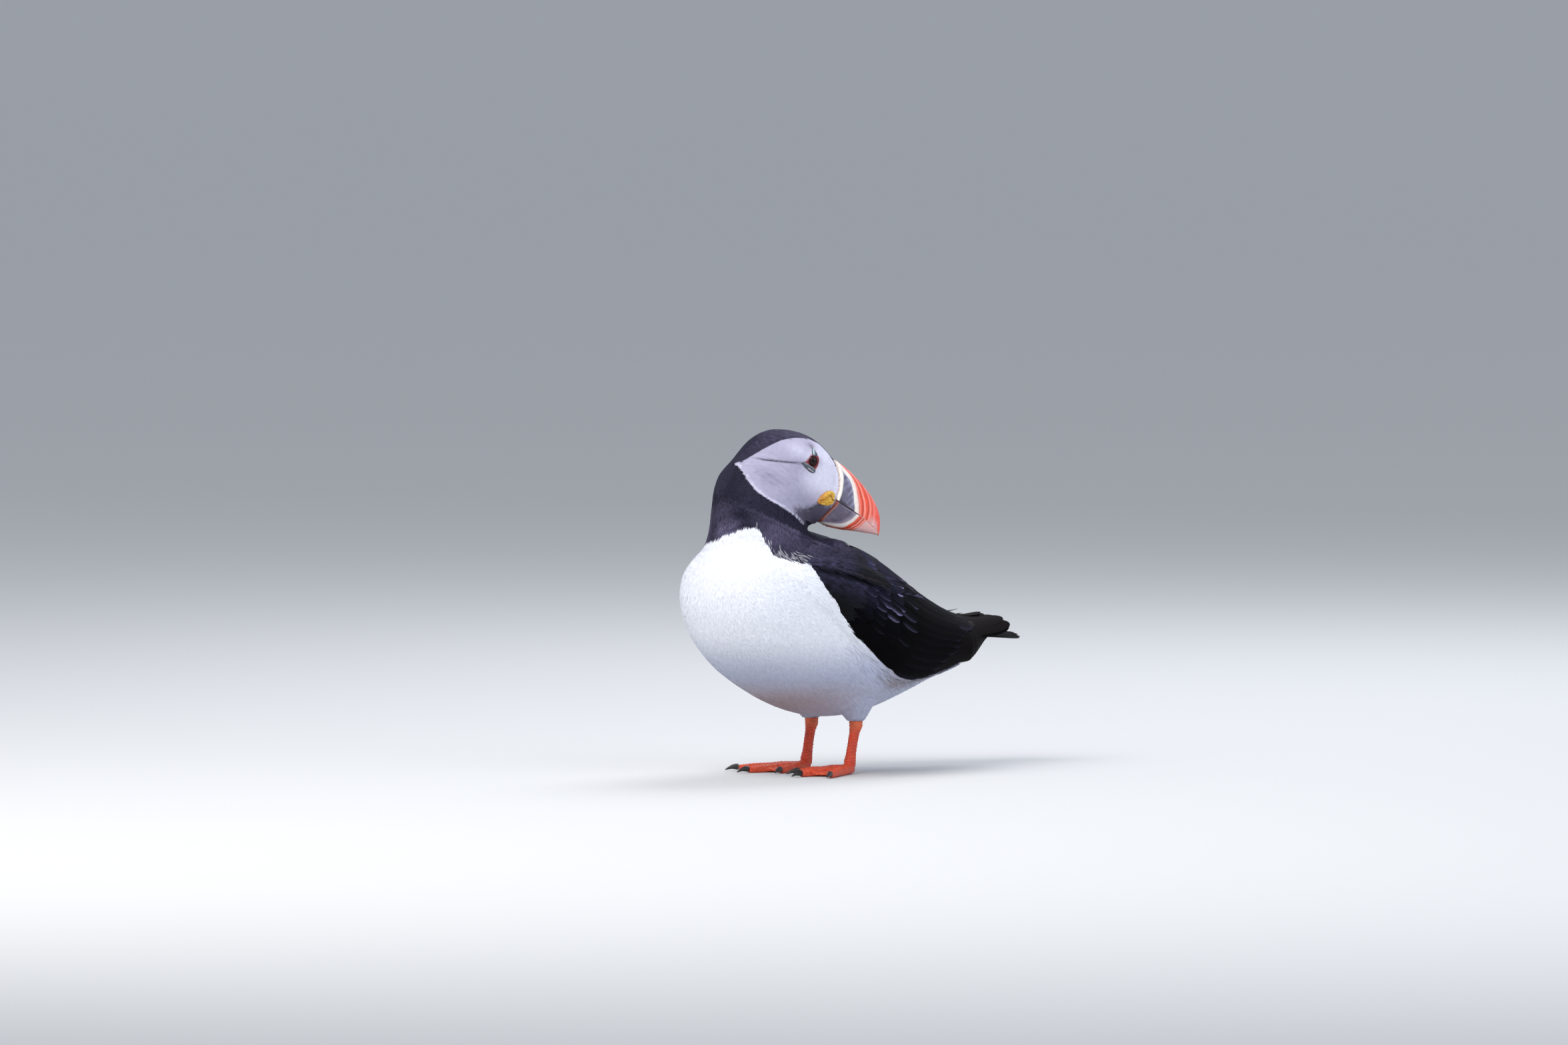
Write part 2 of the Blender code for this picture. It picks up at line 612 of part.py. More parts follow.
def build():
    for thing in list(bpy.data.objects):
        bpy.data.objects.remove(thing)
    bird = bpy.data.collections.new("atlantic_puffin")
    cutters = bpy.data.collections.new("cutters")
    bpy.context.scene.collection.children.link(bird)
    bpy.context.scene.collection.children.link(cutters)
    looks = {
        "white_feathers": material("white_feathers", WHITE, 0.85),
        "grey_feathers": material("grey_feathers", GREY, 0.85),
        "black_feathers": material("black_feathers", BLACK, 0.7),
        "bill_horn": material("bill_horn", ORANGE, 0.35),
        "rosette_skin": material("rosette_skin", YELLOW, 0.6),
        "plate_horn": material("plate_horn", SLATE, 0.5),
        "eye_glass": material("eye_glass", EYE_BROWN, 0.08),
        "leg_skin": material("leg_skin", LEG_ORANGE, 0.5),
        "claw_horn": material("claw_horn", CLAW_BLACK, 0.4),
    }
    trunk_axes = trunk_frame()
    head_axes = head_frame()

    # One surface for head, neck and trunk, parted by two planes.
    blanks = [
        section_loft("trunk_blank", trunk_axes, TRUNK_STATIONS, cutters, 30),
        oval_loft("neck_blank", NECK_STATIONS, cutters, 28),
        section_loft("head_blank", head_axes, HEAD_STATIONS, cutters, 24),
    ]
    body = joined_surface("body", blanks, BODY_VOXEL, BODY_SMOOTHING, BODY_TRIANGLES, cutters)
    head_up = (head_axes.to_3x3() @ HEAD_CUT[1]).normalized()
    head_low = head_axes @ HEAD_CUT[0]
    neck_up = NECK_CUT[1].normalized()
    neck_low = NECK_CUT[0]
    half = GAP / 2
    head = keep_side(body, "head", head_low + head_up * half, head_up, bird)
    below = keep_side(body, "below_head", head_low - head_up * half, -head_up, cutters)
    neck = keep_side(below, "neck", neck_low + neck_up * half, neck_up, bird)
    torso = keep_side(below, "torso", neck_low - neck_up * half, -neck_up, cutters)
    back_up = (trunk_axes.to_3x3() @ BACK_CUT[1]).normalized()
    back_low = trunk_axes @ BACK_CUT[0]
    back = keep_side(torso, "back", back_low + back_up * half, back_up, bird)
    trunk = keep_side(torso, "trunk", back_low - back_up * half, -back_up, bird)

    # Bill, let into the head.
    bill_upper = mandible("bill_upper", head_axes, True, bird)
    bill_lower = mandible("bill_lower", head_axes, False, bird)
    for mandible_solid in (bill_upper, bill_lower):
        clean(mandible_solid)
        boolean(head, swollen(mandible_solid.name + "_room", mandible_solid, GAP, cutters), "DIFFERENCE")

    # Eyes, rosettes and orbital plates on both sides of the head.
    face = []
    eye_rooms = {}
    for word, side in (("left", 1), ("right", -1)):
        centre = (EYE_CENTRE[0], side * EYE_CENTRE[1], EYE_CENTRE[2])
        room = ellipsoid("eye_room", head_axes, centre, (EYE_RADIUS + GAP,) * 3, cutters, ROOM_SEGMENTS)
        eye_rooms[side] = room
        boolean(head, room, "DIFFERENCE")
        eye = ellipsoid("eye_" + word, head_axes, centre, (EYE_RADIUS,) * 3, bird)
        face.append((eye, "eye_glass"))
    head_room = swollen("head_room", head, GAP, cutters)
    for word, side in (("left", 1), ("right", -1)):
        place = face_frame(head_axes, *ROSETTE_CENTRE, side, head)
        rosette = ellipsoid("rosette_" + word, place, (0.0, 0.0, 0.0), ROSETTE_SIZE, bird)
        boolean(rosette, head_room, "DIFFERENCE")
        for mandible_solid in (bill_upper, bill_lower):
            boolean(rosette, swollen("bill_room", mandible_solid, GAP, cutters), "DIFFERENCE")
        face.append((rosette, "rosette_skin"))
        for label, outline in (("upper", UPPER_PLATE), ("lower", LOWER_PLATE)):
            name = "eye_plate_" + label + "_" + word
            plate = face_plate(name, head_axes, outline, side, head, head_room, bird)
            boolean(plate, eye_rooms[side], "DIFFERENCE")
            face.append((plate, "plate_horn"))

    # Wings and tail against the trunk.
    body_room = swollen("body_room", body, GAP, cutters)
    tail_solid = tail(bird)
    boolean(tail_solid, body_room, "DIFFERENCE")
    tail_room = swollen("tail_room", tail_solid, GAP, cutters)
    wings = []
    for word, side in (("left", -1), ("right", 1)):
        blade = wing("wing_" + word, trunk_axes, side, bird)
        boolean(blade, body_room, "DIFFERENCE")
        boolean(blade, tail_room, "DIFFERENCE")
        wings.append(blade)

    # Legs: left side built, right side mirrored.
    legs = []
    thigh_left = oval_loft("thigh_left", THIGH_STATIONS, bird, 16)
    shank_left = oval_loft("shank_left", SHANK_STATIONS, bird, 12)
    boolean(thigh_left, body_room, "DIFFERENCE")
    boolean(thigh_left, swollen("shank_room", shank_left, GAP, cutters), "DIFFERENCE")
    foot_left, toes = foot("foot_left", cutters, bird)
    turn = Matrix.Translation(FOOT_HEEL) @ Matrix.Rotation(FOOT_TURN, 4, "Z") @ Matrix.Translation(-FOOT_HEEL)
    foot_left.data.transform(turn)
    boolean(shank_left, swollen("foot_room", foot_left, GAP, cutters), "DIFFERENCE")
    legs.append((thigh_left, "white_feathers"))
    legs.append((shank_left, "leg_skin"))
    legs.append((foot_left, "leg_skin"))
    for label, points in zip(("inner", "middle", "outer"), toes):
        root = turn @ points[-1]
        forward = (turn.to_3x3() @ (points[-1] - points[-2])).normalized()
        forward.z = 0.0
        nail = claw("claw_" + label + "_left", root, forward.normalized(), bird)
        legs.append((nail, "claw_horn"))
    for solid, look in list(legs):
        legs.append((mirrored(solid, solid.name.replace("_left", "_right"), bird), look))

    dressed = face + legs + [
        (head, "grey_feathers"),
        (neck, "black_feathers"),
        (trunk, "white_feathers"),
        (back, "black_feathers"),
        (tail_solid, "black_feathers"),
        (wings[0], "black_feathers"),
        (wings[1], "black_feathers"),
        (bill_upper, "bill_horn"),
        (bill_lower, "bill_horn"),
    ]
    for solid, look in dressed:
        solid.data.materials.clear()
        solid.data.materials.append(looks[look])
        clean(solid)
        for face_item in solid.data.polygons:
            face_item.use_smooth = False

    # Stand on the floor with the origin under the middle of the bounds.
    corners = np.array([v.co for solid, _ in dressed for v in solid.data.vertices])
    low, high = corners.min(axis=0), corners.max(axis=0)
    shift = Vector(((low[0] + high[0]) / 2, (low[1] + high[1]) / 2, low[2]))
    stand = bpy.data.objects.new("atlantic_puffin_origin", None)
    bird.objects.link(stand)
    stand.location = -shift
    for solid, _ in dressed:
        solid.parent = stand
    for cutter in cutters.objects:
        cutter.hide_render = True
        cutter.display_type = "WIRE"
    total = sum(len(solid.data.polygons) for solid, _ in dressed)
    print("triangles", total, "shift", [round(c, 5) for c in shift])


build()
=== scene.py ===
"""Looks of the Atlantic puffin: skin, feathers, bill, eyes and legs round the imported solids.

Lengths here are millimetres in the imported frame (+Z up, the body faces -Y, the bird's left is +X), and become
metres when a mesh is made. Heights of feathers are measured from the coat's outer surface.
"""

import math

import bmesh
import bpy
import numpy as np
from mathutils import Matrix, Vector
from mathutils.bvhtree import BVHTree


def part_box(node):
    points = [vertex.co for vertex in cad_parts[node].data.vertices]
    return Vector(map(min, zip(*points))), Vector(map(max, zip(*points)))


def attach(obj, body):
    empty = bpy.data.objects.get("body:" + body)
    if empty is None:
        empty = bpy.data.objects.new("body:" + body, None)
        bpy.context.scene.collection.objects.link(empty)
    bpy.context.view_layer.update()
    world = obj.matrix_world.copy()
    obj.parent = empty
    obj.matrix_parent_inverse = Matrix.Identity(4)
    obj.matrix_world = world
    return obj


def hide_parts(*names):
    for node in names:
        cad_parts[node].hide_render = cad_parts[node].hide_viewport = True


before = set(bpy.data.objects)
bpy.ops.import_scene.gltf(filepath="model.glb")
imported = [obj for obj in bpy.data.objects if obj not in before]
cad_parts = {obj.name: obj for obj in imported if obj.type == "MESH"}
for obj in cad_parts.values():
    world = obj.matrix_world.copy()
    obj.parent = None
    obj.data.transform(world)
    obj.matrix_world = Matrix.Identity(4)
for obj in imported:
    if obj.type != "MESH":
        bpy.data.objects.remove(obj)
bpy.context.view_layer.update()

MM = 0.001
SEED = 20
COARSE = 1.0
rng = np.random.default_rng(SEED)


# ---------------------------------------------------------------- numbers and frames


def unit(vectors):
    return vectors / np.maximum(np.linalg.norm(vectors, axis=-1, keepdims=True), 1e-9)


def tangent(vectors, normals):
    """Directions laid flat on the surface that the normals stand on."""
    return unit(vectors - normals * np.sum(vectors * normals, axis=-1, keepdims=True))


def step(low, high, value):
    t = np.clip((value - low) / (high - low), 0.0, 1.0)
    return t * t * (3.0 - 2.0 * t)


def mix(a, b, t):
    t = np.asarray(t)[..., None] if np.ndim(a) > np.ndim(t) or np.ndim(b) > np.ndim(t) else np.asarray(t)
    return a + (b - a) * t


def hump(distance, width):
    """1 at no distance, fading over a width to both sides."""
    return np.exp(-((distance / width) ** 2))


def spot(a, b, middle, reach):
    """1 at a middle of two coordinates, fading over a reach in each."""
    return np.exp(-(((a - middle[0]) / reach[0]) ** 2) - ((b - middle[1]) / reach[1]) ** 2)


def hermite(start, end, leave, arrive, t):
    """A smooth curve between two values, from its slopes at both ends."""
    first = start * (2 * t**3 - 3 * t**2 + 1) + leave * (t**3 - 2 * t**2 + t)
    return first + end * (3 * t**2 - 2 * t**3) + arrive * (t**3 - t**2)


def layered(shape, ground, *layers):
    """A ground colour on an array of places, with others laid over it in turn by amounts from 0 to 1."""
    tone = ground * np.ones(tuple(shape) + (1,))
    for colour, amount in layers:
        tone = mix(tone, colour, amount)
    return tone


def stacked(*parts):
    """An array of places from their coordinates, each an array or one value for all."""
    return np.stack(np.broadcast_arrays(*parts), axis=-1)


def easing(stations):
    """Places from 0 to 1 along a feather, closer together towards its tip."""
    return np.sin(np.linspace(0, 1, stations) * math.pi / 2)


def table_at(table, at):
    """A table's other columns at values of its rising first column, on a smooth curve."""
    rows = np.array(table, float)
    x, y = rows[:, 0], rows[:, 1:]
    slope = np.gradient(y, x, axis=0)
    at = np.clip(np.asarray(at, float), x[0], x[-1])
    i = np.clip(np.searchsorted(x, at) - 1, 0, len(x) - 2)
    gap = (x[i + 1] - x[i])[..., None]
    return hermite(y[i], y[i + 1], slope[i] * gap, slope[i + 1] * gap, (at - x[i])[..., None] / gap)


def line_at(table, at):
    return table_at(table, at)[..., 0]


def rgb(red, green, blue):
    """A colour as seen on a screen, 0 to 255, in linear light."""
    seen = np.array((red, green, blue), float) / 255.0
    return np.where(seen <= 0.04045, seen / 12.92, ((seen + 0.055) / 1.055) ** 2.4)


class Waves:
    """A smooth random field: waves of one length in random directions."""

    def __init__(self, length, count=9):
        self.ways = unit(rng.normal(size=(count, 3))) * (2 * math.pi / length)
        self.ways *= rng.uniform(0.7, 1.4, (count, 1))
        self.starts = rng.uniform(0, 2 * math.pi, count)

    def at(self, points):
        return np.sin(points @ self.ways.T + self.starts).sum(axis=-1) / math.sqrt(len(self.starts) / 2)


class Axes:
    """A frame of the bird: an origin and three directions."""

    def __init__(self, origin, rows):
        self.origin = np.array(origin, float)
        self.rows = np.array(rows, float)

    def local(self, points):
        return (points - self.origin) @ self.rows.T

    def world(self, coords):
        return np.asarray(coords, float) @ self.rows + self.origin

    def turn(self, way):
        return np.asarray(way, float) @ self.rows


def box_middle(node):
    low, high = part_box(node)
    return np.array((low + high) / 2) / MM


# Head frame: +u to the bill, +w to the bird's left, +v up. Its origin is between the corners of the gape.
HEAD_YAW = math.radians(150.0)
HEAD_BOW = math.radians(25.0)
EYE_PLACE = (-23.6, 9.8, 14.2)  # u, w, v of the left eye's middle
EYE_RADIUS = 5.2

# Trunk frame: s tailwards along the spine, x to the left, n up across it.
TRUNK_TILT = math.radians(28.0)
TRUNK_FROM_HEAD = (-20.0, -0.7, -65.0)
NECK_AXIS = -38.0  # y of the neck's axis from the trunk's origin
LEG_TOP = -44.0  # height of the thighs' top from there


def head_axes():
    heading = np.array((math.sin(HEAD_YAW), -math.cos(HEAD_YAW), 0.0))
    level_up = np.array((0.0, 0.0, 1.0))
    forward = heading * math.cos(HEAD_BOW) - level_up * math.sin(HEAD_BOW)
    upward = heading * math.sin(HEAD_BOW) + level_up * math.cos(HEAD_BOW)
    left = np.cross(upward, forward)
    between_eyes = (box_middle("eye_left") + box_middle("eye_right")) / 2
    origin = between_eyes - EYE_PLACE[0] * forward - EYE_PLACE[2] * upward
    return Axes(origin, (forward, left, upward))


head = head_axes()
trunk = Axes(
    head.origin + TRUNK_FROM_HEAD,
    (
        (0.0, math.cos(TRUNK_TILT), -math.sin(TRUNK_TILT)),
        (1.0, 0.0, 0.0),
        (0.0, math.sin(TRUNK_TILT), math.cos(TRUNK_TILT)),
    ),
)

# Trunk sections: s, top, bottom, half width.
TRUNK_SECTIONS = [
    (-80, -6, -14, 6),
    (-72, 12, -29.5, 27),
    (-64, 21, -37.5, 34.5),
    (-52, 30, -45, 40.8),
    (-35, 38.5, -50.2, 44.8),
    (-15, 43.5, -51.5, 46.5),
    (5, 44, -50, 46.2),
    (25, 42.2, -45, 44),
    (45, 39, -33, 39.2),
    (62, 36.2, -16, 32.5),
    (78, 34.5, 2, 26),
    (94, 34.7, 19, 19),
]

# Wing: s, angles round the trunk of its upper and lower edge.
WING_EDGES = [
    (-52, 56, 74),
    (-47, 46, 80),
    (-38, 34, 86),
    (-22, 25, 93),
    (-2, 20, 100),
    (20, 16, 106),
    (40, 13, 113),
    (60, 10, 114),
    (78, 7, 104),
    (92, 5, 82),
    (102, 8, 62),
    (109, 20, 44),
]

# Lower edge of the scapular feathers that lie over the wing: s, angle.
SCAPULAR_EDGE = [(-60, 50), (-48, 62), (-30, 63), (-9, 61), (15, 53), (35, 41), (55, 27), (75, 16), (90, 12)]


def section_at(s):
    """Middle height, half height and half width of the trunk's section."""
    top, bottom, half_width = np.moveaxis(table_at(TRUNK_SECTIONS, s), -1, 0)
    return (top + bottom) / 2, (top - bottom) / 2, half_width


def round_trunk(points):
    """s and signed angle round the trunk, 0 at the back and positive to the left."""
    s, x, n = trunk.local(points).T
    middle, rise, half_width = section_at(s)
    return s, np.degrees(np.arctan2(x / half_width, (n - middle) / rise))


# ---------------------------------------------------------------- meshes


def read(items, key, each, width, kind=np.float32):
    """A property of a mesh's vertices, edges or loops, which have so many values each, in rows of a width."""
    values = np.empty(len(items) * each, kind)
    items.foreach_get(key, values)
    return values.reshape(-1, width)


def points_of(mesh):
    return read(mesh.vertices, "co", 3, 3).astype(float) / MM


def quads_of(mesh):
    return read(mesh.loops, "vertex_index", 1, 4, np.int32)


def set_points(mesh, points):
    mesh.vertices.foreach_set("co", (points * MM).astype(np.float32).ravel())


def make_piece(name, points, faces, look, paint, patches=None, marks=None, normals=None, upper=None):
    """A mesh object from points in millimetres and equal-sided faces, with its colours and its OFBake map.

    normals, one for each point, soften the shading of the faces that upper marks; the others stay flat.
    """
    mesh = bpy.data.meshes.new(name)
    points = points.reshape(-1, 3)
    mesh.vertices.add(len(points))
    set_points(mesh, points)
    mesh.loops.add(faces.size)
    mesh.loops.foreach_set("vertex_index", faces.astype(np.int32).ravel())
    mesh.polygons.add(len(faces))
    mesh.polygons.foreach_set("loop_start", np.arange(0, faces.size, faces.shape[1], dtype=np.int32))
    mesh.polygons.foreach_set("use_smooth", np.ones(len(faces), bool))
    mesh.update(calc_edges=True)
    if normals is not None:
        a, b, c = (points[faces[:, i]] for i in range(3))
        flat = unit(np.cross(b - a, c - a))[:, None]
        soft = normals.reshape(-1, 3)[faces]
        mesh.normals_split_custom_set(np.where(upper[:, None, None], soft, flat).reshape(-1, 3))
    layer = mesh.color_attributes.new("paint", "FLOAT_COLOR", "POINT")
    full = np.ones((len(points), 4), np.float32)
    full[:, :3] = np.clip(paint.reshape(-1, 3), 0.0, 1.0)
    layer.data.foreach_set("color", full.ravel())
    if marks is not None:
        layer = mesh.attributes.new("barb", "FLOAT_VECTOR", "POINT")
        layer.data.foreach_set("vector", marks.astype(np.float32).ravel())
    if patches is not None:
        layer = mesh.uv_layers.new(name="OFBake")
        layer.data.foreach_set("uv", patches.reshape(-1, 2)[faces.ravel()].astype(np.float32).ravel())
    mesh.materials.append(look)
    piece = bpy.data.objects.new(name, mesh)
    bpy.context.scene.collection.objects.link(piece)
    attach(piece, "root")
    return piece


def ring_quads(rings, count):
    """Four-sided faces between rings of points."""
    i, j = np.meshgrid(np.arange(rings - 1), np.arange(count), indexing="ij")
    k = (j + 1) % count
    a, b = i * count, (i + 1) * count
    return stacked(a + j, a + k, b + k, b + j).reshape(-1, 4)


def tube_faces(rings, count, inside_out, first=0):
    """Triangles of a tube of rings with closed ends. first is the corner from which a quad is cut."""
    quads = np.roll(ring_quads(rings, count), -first, axis=1)
    j, last = np.arange(1, count - 1), (rings - 1) * count
    ends = [stacked(0, j + 1, j), stacked(0, j, j + 1) + last]
    faces = np.concatenate([quads[:, (0, 1, 2)], quads[:, (0, 2, 3)]] + ends)
    return faces[:, ::-1] if inside_out else faces


def joined_nodes(names, swell, keep=None):
    """The CAD solids of these names, welded, grown by a hair so that their cuts close, and joined.

    keep gives, for some names, a point and a direction: the solid is cut there and the part that way is left.
    """
    whole = bmesh.new()
    for name in names:
        part = bmesh.new()
        part.from_mesh(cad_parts[name].data)
        bmesh.ops.remove_doubles(part, verts=part.verts, dist=0.01 * MM)
        if keep and name in keep:
            place, way = keep[name]
            everything = part.verts[:] + part.edges[:] + part.faces[:]
            cut = bmesh.ops.bisect_plane(
                part, geom=everything, plane_co=Vector(place) * MM, plane_no=Vector(way), clear_inner=True
            )
            rim = [item for item in cut["geom_cut"] if isinstance(item, bmesh.types.BMEdge)]
            bmesh.ops.holes_fill(part, edges=rim)
        bmesh.ops.recalc_face_normals(part, faces=part.faces)
        part.normal_update()
        for vert in part.verts:
            vert.co += vert.normal * swell * MM
        mesh = bpy.data.meshes.new("part")
        part.to_mesh(mesh)
        part.free()
        whole.from_mesh(mesh)
    mesh = bpy.data.meshes.new("joined")
    whole.to_mesh(mesh)
    whole.free()
    return mesh


def remeshed(mesh, voxel):
    """One closed even surface round a mesh."""
    thing = bpy.data.objects.new("remesh", mesh)
    bpy.context.scene.collection.objects.link(thing)
    change = thing.modifiers.new("even", "REMESH")
    change.mode = "VOXEL"
    change.voxel_size = voxel * MM
    bpy.context.view_layer.update()
    graph = bpy.context.evaluated_depsgraph_get()
    made = bpy.data.meshes.new_from_object(thing.evaluated_get(graph))
    bpy.data.objects.remove(thing)
    return made


def smoothed(mesh, rounds):
    """A mesh's points drawn towards their neighbours and back, which takes facets out and keeps the size."""
    points = points_of(mesh)
    a, b = read(mesh.edges, "vertices", 2, 2, np.int32).T
    ends = np.concatenate((a, b))
    others = np.concatenate((b, a))
    count = np.bincount(ends, minlength=len(points))[:, None]
    for i in range(rounds):
        pull = 0.5 if i % 2 == 0 else -0.485
        around = np.stack([np.bincount(ends, points[others, k], len(points)) for k in range(3)], axis=1)
        points = points + (around / count - points) * pull
    return points


class Surface:
    """A closed surface with its nearest places and smooth normals."""

    def __init__(self, mesh, points):
        self.points = points
        set_points(mesh, points)
        mesh.update()
        self.mesh = mesh
        self.faces = quads_of(mesh)
        self.normals = read(mesh.vertices, "normal", 3, 3).astype(float)
        self.tree = BVHTree.FromPolygons(points.tolist(), self.faces.tolist())

    def nearest(self, points):
        places = np.empty_like(points)
        index = np.empty(len(points), int)
        find = self.tree.find_nearest
        for i, point in enumerate(points.tolist()):
            hit, _, face, _ = find(point)
            places[i] = hit
            index[i] = face
        return places, self.smooth_normal(places, index)

    def smooth_normal(self, places, index):
        corners = self.faces[index]
        away = np.linalg.norm(self.points[corners] - places[:, None], axis=2)
        weight = 1.0 / (away**2 + 0.02)
        return unit(np.sum(self.normals[corners] * weight[..., None], axis=1))

    def cast(self, starts, ways):
        """First hits of rays, with nan where a ray misses."""
        places = np.full_like(starts, np.nan)
        shoot = self.tree.ray_cast
        for i, (start, way) in enumerate(zip(starts.tolist(), ways.tolist())):
            hit = shoot(start, way)[0]
            if hit is not None:
                places[i] = hit
        return places


# ---------------------------------------------------------------- outer surface of the coat

SKIN_NODES = ("head", "neck", "back", "trunk", "thigh_left", "thigh_right", "wing_left", "wing_right")
EYES = ("eye_left", "eye_right")
BILLS = ("bill_upper", "bill_lower")
SEAL = 0.35  # how far solids are grown to close the cuts between them
OUTER_VOXEL = 1.3
STUMP_FRONT = 3.0  # the skin goes this far into the bill


def make_surface(names, keep, rounds):
    mesh = remeshed(joined_nodes(names, SEAL, keep), OUTER_VOXEL)
    return Surface(mesh, smoothed(mesh, rounds))


bill_cut = (head.world((STUMP_FRONT, 0, 0)), -head.rows[0])
stumps = {name: bill_cut for name in BILLS}
outer = make_surface(SKIN_NODES + EYES + BILLS + ("tail",), stumps, 24)

WING_SKIN_END = 84.0  # behind this the wing is only feathers
TAIL_SKIN = 12.0  # length of the tail's fleshy root
tail_low, tail_high = (np.array(corner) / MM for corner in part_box("tail"))
wing_cut = (trunk.world((WING_SKIN_END, 0, 0)), -trunk.rows[0])
tail_cut = ((0.0, tail_low[1] + TAIL_SKIN, 0.0), (0.0, -1.0, 0.0))
stumps.update({"wing_left": wing_cut, "wing_right": wing_cut, "tail": tail_cut})
rear_body = make_surface(("back", "trunk", "tail"), stumps, 20)
REAR_START = 76.0  # behind this s the body's own surface bears the tufts

WING_BEND = 80.0  # from this s the folded wing narrows to its tip
WING_TIP_S = 112.0
WING_TIP = (109.5, 13.0, 45.6)  # s, x, n
WING_TIP_WAY = (0, 0.99, -0.1)  # the way the wing points there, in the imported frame


class TrunkMap:
    """The outer surface over the trunk and the folded wings, by s and angle, found by rays to the spine."""

    S_STEP, ANGLE_STEP = 1.5, 2.5
    S = np.arange(-60.0, 112.0, S_STEP)
    ANGLES = np.arange(-150.0, 151.0, ANGLE_STEP)
    REACH = 14.0  # rays start this far outside the trunk's section

    def __init__(self):
        s, angle = np.meshgrid(self.S, self.ANGLES, indexing="ij")
        middle, rise, half_width = section_at(s)
        turn = np.radians(angle)
        way = stacked(0.0, half_width * np.sin(turn), rise * np.cos(turn))
        axis = stacked(s, 0.0, middle)
        radius = np.linalg.norm(way, axis=-1, keepdims=True)
        starts = trunk.world(axis + way * (1 + self.REACH / radius))
        hits = outer.cast(starts.reshape(-1, 3), -unit(trunk.turn(way)).reshape(-1, 3))
        reach = trunk.local(hits).reshape(way.shape) - axis
        share = np.linalg.norm(reach, axis=-1) / radius[..., 0]
        for i in range(1, len(self.S)):
            share[i] = np.where(np.isnan(share[i]), share[i - 1], share[i])
        share = np.where(np.isnan(share), 1.0, share)
        for _ in range(2):
            beside = share[2:, 1:-1] + share[:-2, 1:-1] + share[1:-1, 2:] + share[1:-1, :-2]
            share[1:-1, 1:-1] = (share[1:-1, 1:-1] * 2 + beside) / 6
        self.share = share

    def place(self, s, angle):
        """A place on the wing or back. Behind the bend it runs on a curve to the wing's tip."""
        start = self.on_surface(np.minimum(s, WING_BEND), angle)
        reach = WING_TIP_S - WING_BEND
        t = np.clip((s - WING_BEND) / reach, 0, 0.95)[..., None]
        tip = stacked(WING_TIP[0], np.sign(angle) * WING_TIP[1], WING_TIP[2])
        pace = 0.8 * reach
        return hermite(start, trunk.world(tip), trunk.rows[0] * pace, np.array(WING_TIP_WAY) * pace, t)

    def on_surface(self, s, angle):
        row = np.clip((s - self.S[0]) / self.S_STEP, 0, len(self.S) - 1.001)
        column = np.clip((angle - self.ANGLES[0]) / self.ANGLE_STEP, 0, len(self.ANGLES) - 1.001)
        i, j = row.astype(int), column.astype(int)
        a, b = row - i, column - j
        low = self.share[i, j] * (1 - b) + self.share[i, j + 1] * b
        high = self.share[i + 1, j] * (1 - b) + self.share[i + 1, j + 1] * b
        share = low * (1 - a) + high * a
        middle, rise, half_width = section_at(s)
        turn = np.radians(angle)
        across, up = share * half_width * np.sin(turn), middle + share * rise * np.cos(turn)
        return trunk.world(stacked(s, across, up))

    def normal(self, s, angle):
        along = self.place(s + 1.5, angle) - self.place(s - 1.5, angle)
        across = self.place(s, angle + 3.0) - self.place(s, angle - 3.0)
        return unit(np.cross(across, along))


trunk_map = TrunkMap()

# ---------------------------------------------------------------- markings and painted light

WHITE = rgb(238, 240, 248)
# Painted shade: the white of the lower body as it looks in shade, greyer and bluer.
BELLY_IN_SHADE = rgb(180, 186, 208)
# Partly dirt, partly painted shade warmed by light reflected from the ground, at the bottom of the belly.
WARM_DIRT_AND_SHADE = rgb(158, 130, 124)
FUZZ = rgb(138, 128, 132)
FACE = rgb(172, 168, 192)
FACE_LIGHT = rgb(226, 224, 243)
FACE_DARK = rgb(132, 128, 154)
# A pale line on the face's lower edge: partly its feathers' pale ends, partly painted highlight on that raised
# edge.
FRINGE_AND_HIGHLIGHT = rgb(216, 215, 236)
CAP = rgb(56, 52, 72)
COLLAR = rgb(43, 41, 59)
# Painted light: the neck's black is lighter where its middle bulges up towards the sky.
COLLAR_SKY_LIT = rgb(98, 91, 118)
CHIN = rgb(84, 79, 97)
BACK_BLACK = rgb(7, 7, 9)
# Painted sheen: the violet grey that the black mantle and the front of the wings show in the light.
MANTLE_SHEEN = rgb(72, 72, 106)
RUMP = rgb(30, 25, 25)
# The brown of worn rump feathers; the same colour is also painted as a thin highlight on the scapulars' edge.
RUMP_BROWN_AND_HIGHLIGHT = rgb(74, 61, 56)
SMUDGE = rgb(72, 68, 88)
# Painted shade in the crease behind the eye.
CREASE_SHADE = rgb(48, 45, 62)

# Borders of the face patch, seen from the side of the head: u, then v of its upper and lower edge.
CAP_LINE = [
    (-62, -4.6), (-58.7, -1.8), (-55, 3), (-50.7, 9.1), (-45.3, 15.6), (-40.3, 19.7), (-34.5, 22.6),
    (-30, 24.2),
]
FACE_LOW = [
    (-62, -4.6), (-59, -5.6), (-55.5, -8.3), (-51, -11.6), (-46.4, -13.5), (-41, -14.7), (-35, -15.1),
    (-28.6, -15.6), (-22, -17), (-15, -18.8), (-8, -21),
]
CAP_HALF = [(-34, 8.3), (-29, 6.0), (-25, 4.4), (-20, 3.4), (-15, 3.0), (-12, 3.4), (-9, 5.0)]
CHIN_LINE = [(-25, -14.5), (-22, -13), (-18.4, -11.8), (-13.6, -9), (-10.8, -5.5), (-6, -4.5), (0, -3)]
CREASE = [(-56, 1.9), (-50.8, 3.2), (-41.3, 6.3), (-32, 9.5), (-27, 11.2)]
NAPE_HALF = 7.0
OUTSIDE = -20.0  # a distance for places that are well outside a patch
